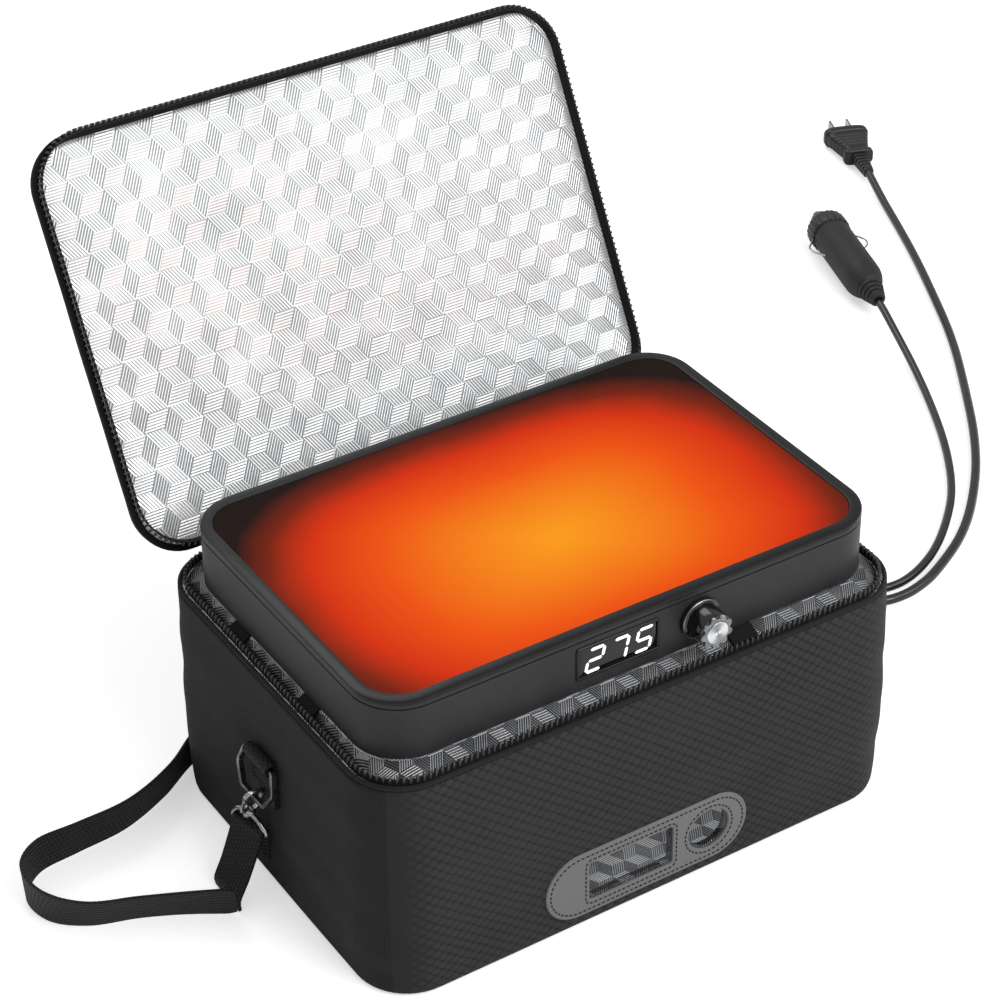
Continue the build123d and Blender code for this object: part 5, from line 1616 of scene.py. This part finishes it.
@dataclass
class Fittings:
    """Rings, hooks and D-rings at both ends, with the shoulder strap between them."""

    width: float = 25.0
    thick: float = 1.7
    route: tuple[tuple[float, float, float], ...] = (
        (-181.5, -8.5, 20), (-203, 5, 24), (-224, 15.5, 25), (-247, 24, 22), (-262.5, 38, 12), (-265.2, 58, 2),
        (-252, 73, -8), (-228, 76.5, -14), (-200, 79.5, -16), (-172, 91, -15), (-148, 106, -10), (-118, 118, -4),
        (-60, 123, 0), (0, 125, 0), (60, 124, 0), (118, 120, 0), (150, 106, 0), (176, 84, 0), (190, 56, 4),
        (193, 26, 8), (185, 4, 8))

    def build(self) -> None:
        """Build every piece of the sub-assembly."""
        sides = [Side("left", -1.0), Side("right", 1.0)]
        for side in sides:
            side.build()
        skinned("d_ring_wires", NICKEL, ("bag", "steel", "d_rings"), *(side.d_ring_rows() for side in sides),
                along=True, sharp=60)
        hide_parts("ring_tabs")
        skinned("shoulder_strap_webbing", WEBBING, ("bag", "webbing", "shoulder_strap"), self.strap(),
                *(self.limb(side, end) for side, end in zip(sides, (self.route[0], self.route[-1]))), caps=True)
        self.lead()

    def limb(self, side: Side, end: Point) -> Rows:
        """Give the rows of a strap's end, from its fold over the D-ring's bar down to the floor."""
        frame = side.d_frame()
        foot = Vector((end[0] - side.sign * 1.6, end[1] + self.width / 2, 1.0))
        bar = frame @ (Z * (-side.d_height - 1.1))
        along = (frame.to_3x3() @ Y).normalized()
        out = X * side.sign
        out = (out - along * out.dot(along)).normalized()
        wrap = [bar + out * a + Z * b for a, b in ((-2.0, -15.0), (-2.3, -4.0), (-1.9, 1.3), (0.0, 2.35), (1.9, 1.3),
                                                   (2.6, -2.5))]
        line = smooth_line(wrap + [bar.lerp(foot, 0.55) + out * 1.5, foot + Z * 6, foot], 1.2)
        across = [along.lerp(Y, held(i / len(line) * 1.5 - 0.5)).normalized() for i in range(len(line))]
        return band(line, across, self.width, self.thick)

    def strap(self) -> Rows:
        """Give the rows of the strap, which stands on edge on the floor and leans with its curve."""
        line = smooth_line([(x, y, lean * 0.01) for x, y, lean in self.route], 3.0)
        places, across = [], []
        for spot, ahead in zip(line, headings(line)):
            lean = math.radians(spot.z * 100)
            side = Z * math.cos(lean) + Z.cross(ahead).normalized() * math.sin(lean)
            places.append(Vector((spot.x, spot.y, 0.9)) + side * self.width / 2)
            across.append(side)
        rows = band(places, across, self.width, self.thick)
        for index, share in ((0, 0.86), (1, 0.96), (-2, 0.96), (-1, 0.86)):
            rows[index] = [places[index].lerp(p, share) for p in rows[index]]
        return rows

    def lead(self) -> None:
        """Lead from the wall port to the underside of the heating unit."""
        spots = [(149.2, 34), (120, 33), (96, 34.5), (84, 44), (80.5, 62), (81, 90), (81.6, 120), (81.6, 135.6)]
        line = smooth_line([(x, 60.0, z) for x, z in spots], 3)
        piece = skinned("inner_lead_sheath", SHEATH, ("bag", "cord_black", "inner_lead"), ball_ended(line, 2.75),
                        caps=True)
        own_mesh(piece)


# Studio


@dataclass
class Studio:
    """Pale floor, white surround, soft lamps and the camera at the photograph's angle."""

    camera_place: tuple[float, float, float] = (-0.6459, -0.9960, 1.0041)
    azimuth: float = -32.21
    elevation: float = 34.86
    roll: float = -0.71
    lens: float = 105.48
    floor_half: float = 40.0 / MM
    lamp_table: tuple = (("key_panel", (0.4, -1.6, 1.6), 1.2, 24.0), ("fill_panel", (1.5, -0.9, 1.4), 1.2, 9.0),
                         ("rim_panel", (0.2, 1.6, 1.8), 1.4, 12.0))

    def build(self) -> None:
        """Build the floor, the surround, the lamps and the camera."""
        shape, half = Shape(), self.floor_half
        shape.loops([[(-half, y, 0.0), (half, y, 0.0)] for y in (-half, half)], around=False)
        shape.done("studio_floor", StudioPaint("matt_white_floor"), outward=False)
        self.surround()
        self.lamps()
        self.camera()
        bpy.context.scene.view_settings.view_transform = "Standard"

    def surround(self) -> None:
        """Set a soft grey-white world, plain white to the camera and to gloss."""
        world = bpy.data.worlds.new("studio_surround")
        bpy.context.scene.world = world
        world.use_nodes = True
        add = Nodes(world.node_tree).add
        direct = add("MAXIMUM", [add("ShaderNodeLightPath", out=f"Is {ray} Ray") for ray in ("Camera", "Transmission")])
        plain, white = [add("ShaderNodeBackground", {"Color": (1, 1, 1, 1), "Strength": s}) for s in (0.5, 1.0)]
        add("ShaderNodeOutputWorld", {"Surface": add("ShaderNodeMixShader", [direct, plain, white])})

    def lamps(self) -> None:
        """Hang a large key, a fill and a rim panel, turned to the product."""
        for name, place, size, power in self.lamp_table:
            data = bpy.data.lights.new(name, "AREA")
            data.size, data.energy = size, power
            lamp = linked(name, data)
            lamp.location = place
            lamp.rotation_mode = "QUATERNION"
            lamp.rotation_quaternion = (Z * 0.1 - Vector(place)).to_track_quat("-Z", "Y")

    def camera(self) -> None:
        """Place the camera where the photograph's edges put it."""
        turn, rise, lean = (math.radians(v) for v in (self.azimuth, self.elevation, self.roll))
        data = bpy.data.cameras.new("studio_camera")
        data.sensor_width = 36.0
        data.lens = self.lens
        camera = linked("studio_camera", data)
        camera.matrix_world = (Matrix.Translation(self.camera_place) @ Matrix.Rotation(turn, 4, "Z")
                               @ Matrix.Rotation(math.pi / 2 - rise, 4, "X") @ Matrix.Rotation(lean, 4, "Z"))
        bpy.context.scene.camera = camera


# Solids that are shown as they are
CAD_FINISHES = {
    PLUG_PVC: ("base_board",), FOAM: ("base_foam",), SHELL: ("heater_housing", "bottom_cover"),
    RUBBER: ("rubber_feet",), HOT_PLATE: ("heating_plate",), FOIL_ELEMENT: ("heating_element",),
    GLASS_WOOL: ("insulation_pad",), DARK_PANEL: ("display_module",), CIRCUIT: ("control_board",),
    NICKEL: ("ac_plug_blades", "housing_screws", "temperature_sensor", "potentiometer"),
    GUNMETAL: ("zipper_slider", "zipper_puller"),
}


def main() -> None:
    """Build the product, dress it and set up the studio."""
    logging.basicConfig(level=logging.INFO, format="%(name)s: %(message)s")
    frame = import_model()
    for finish, names in CAD_FINISHES.items():
        for name in names:
            data = frame["nodes"][name].data
            data.materials.clear()
            data.materials.append(finish.material())
    for part in (Studio, Cords, Bag, Lid, HeatingUnit, Fittings):
        part().build()
        log.info("built %s", part.__name__)


if __name__ == "__main__":
    main()
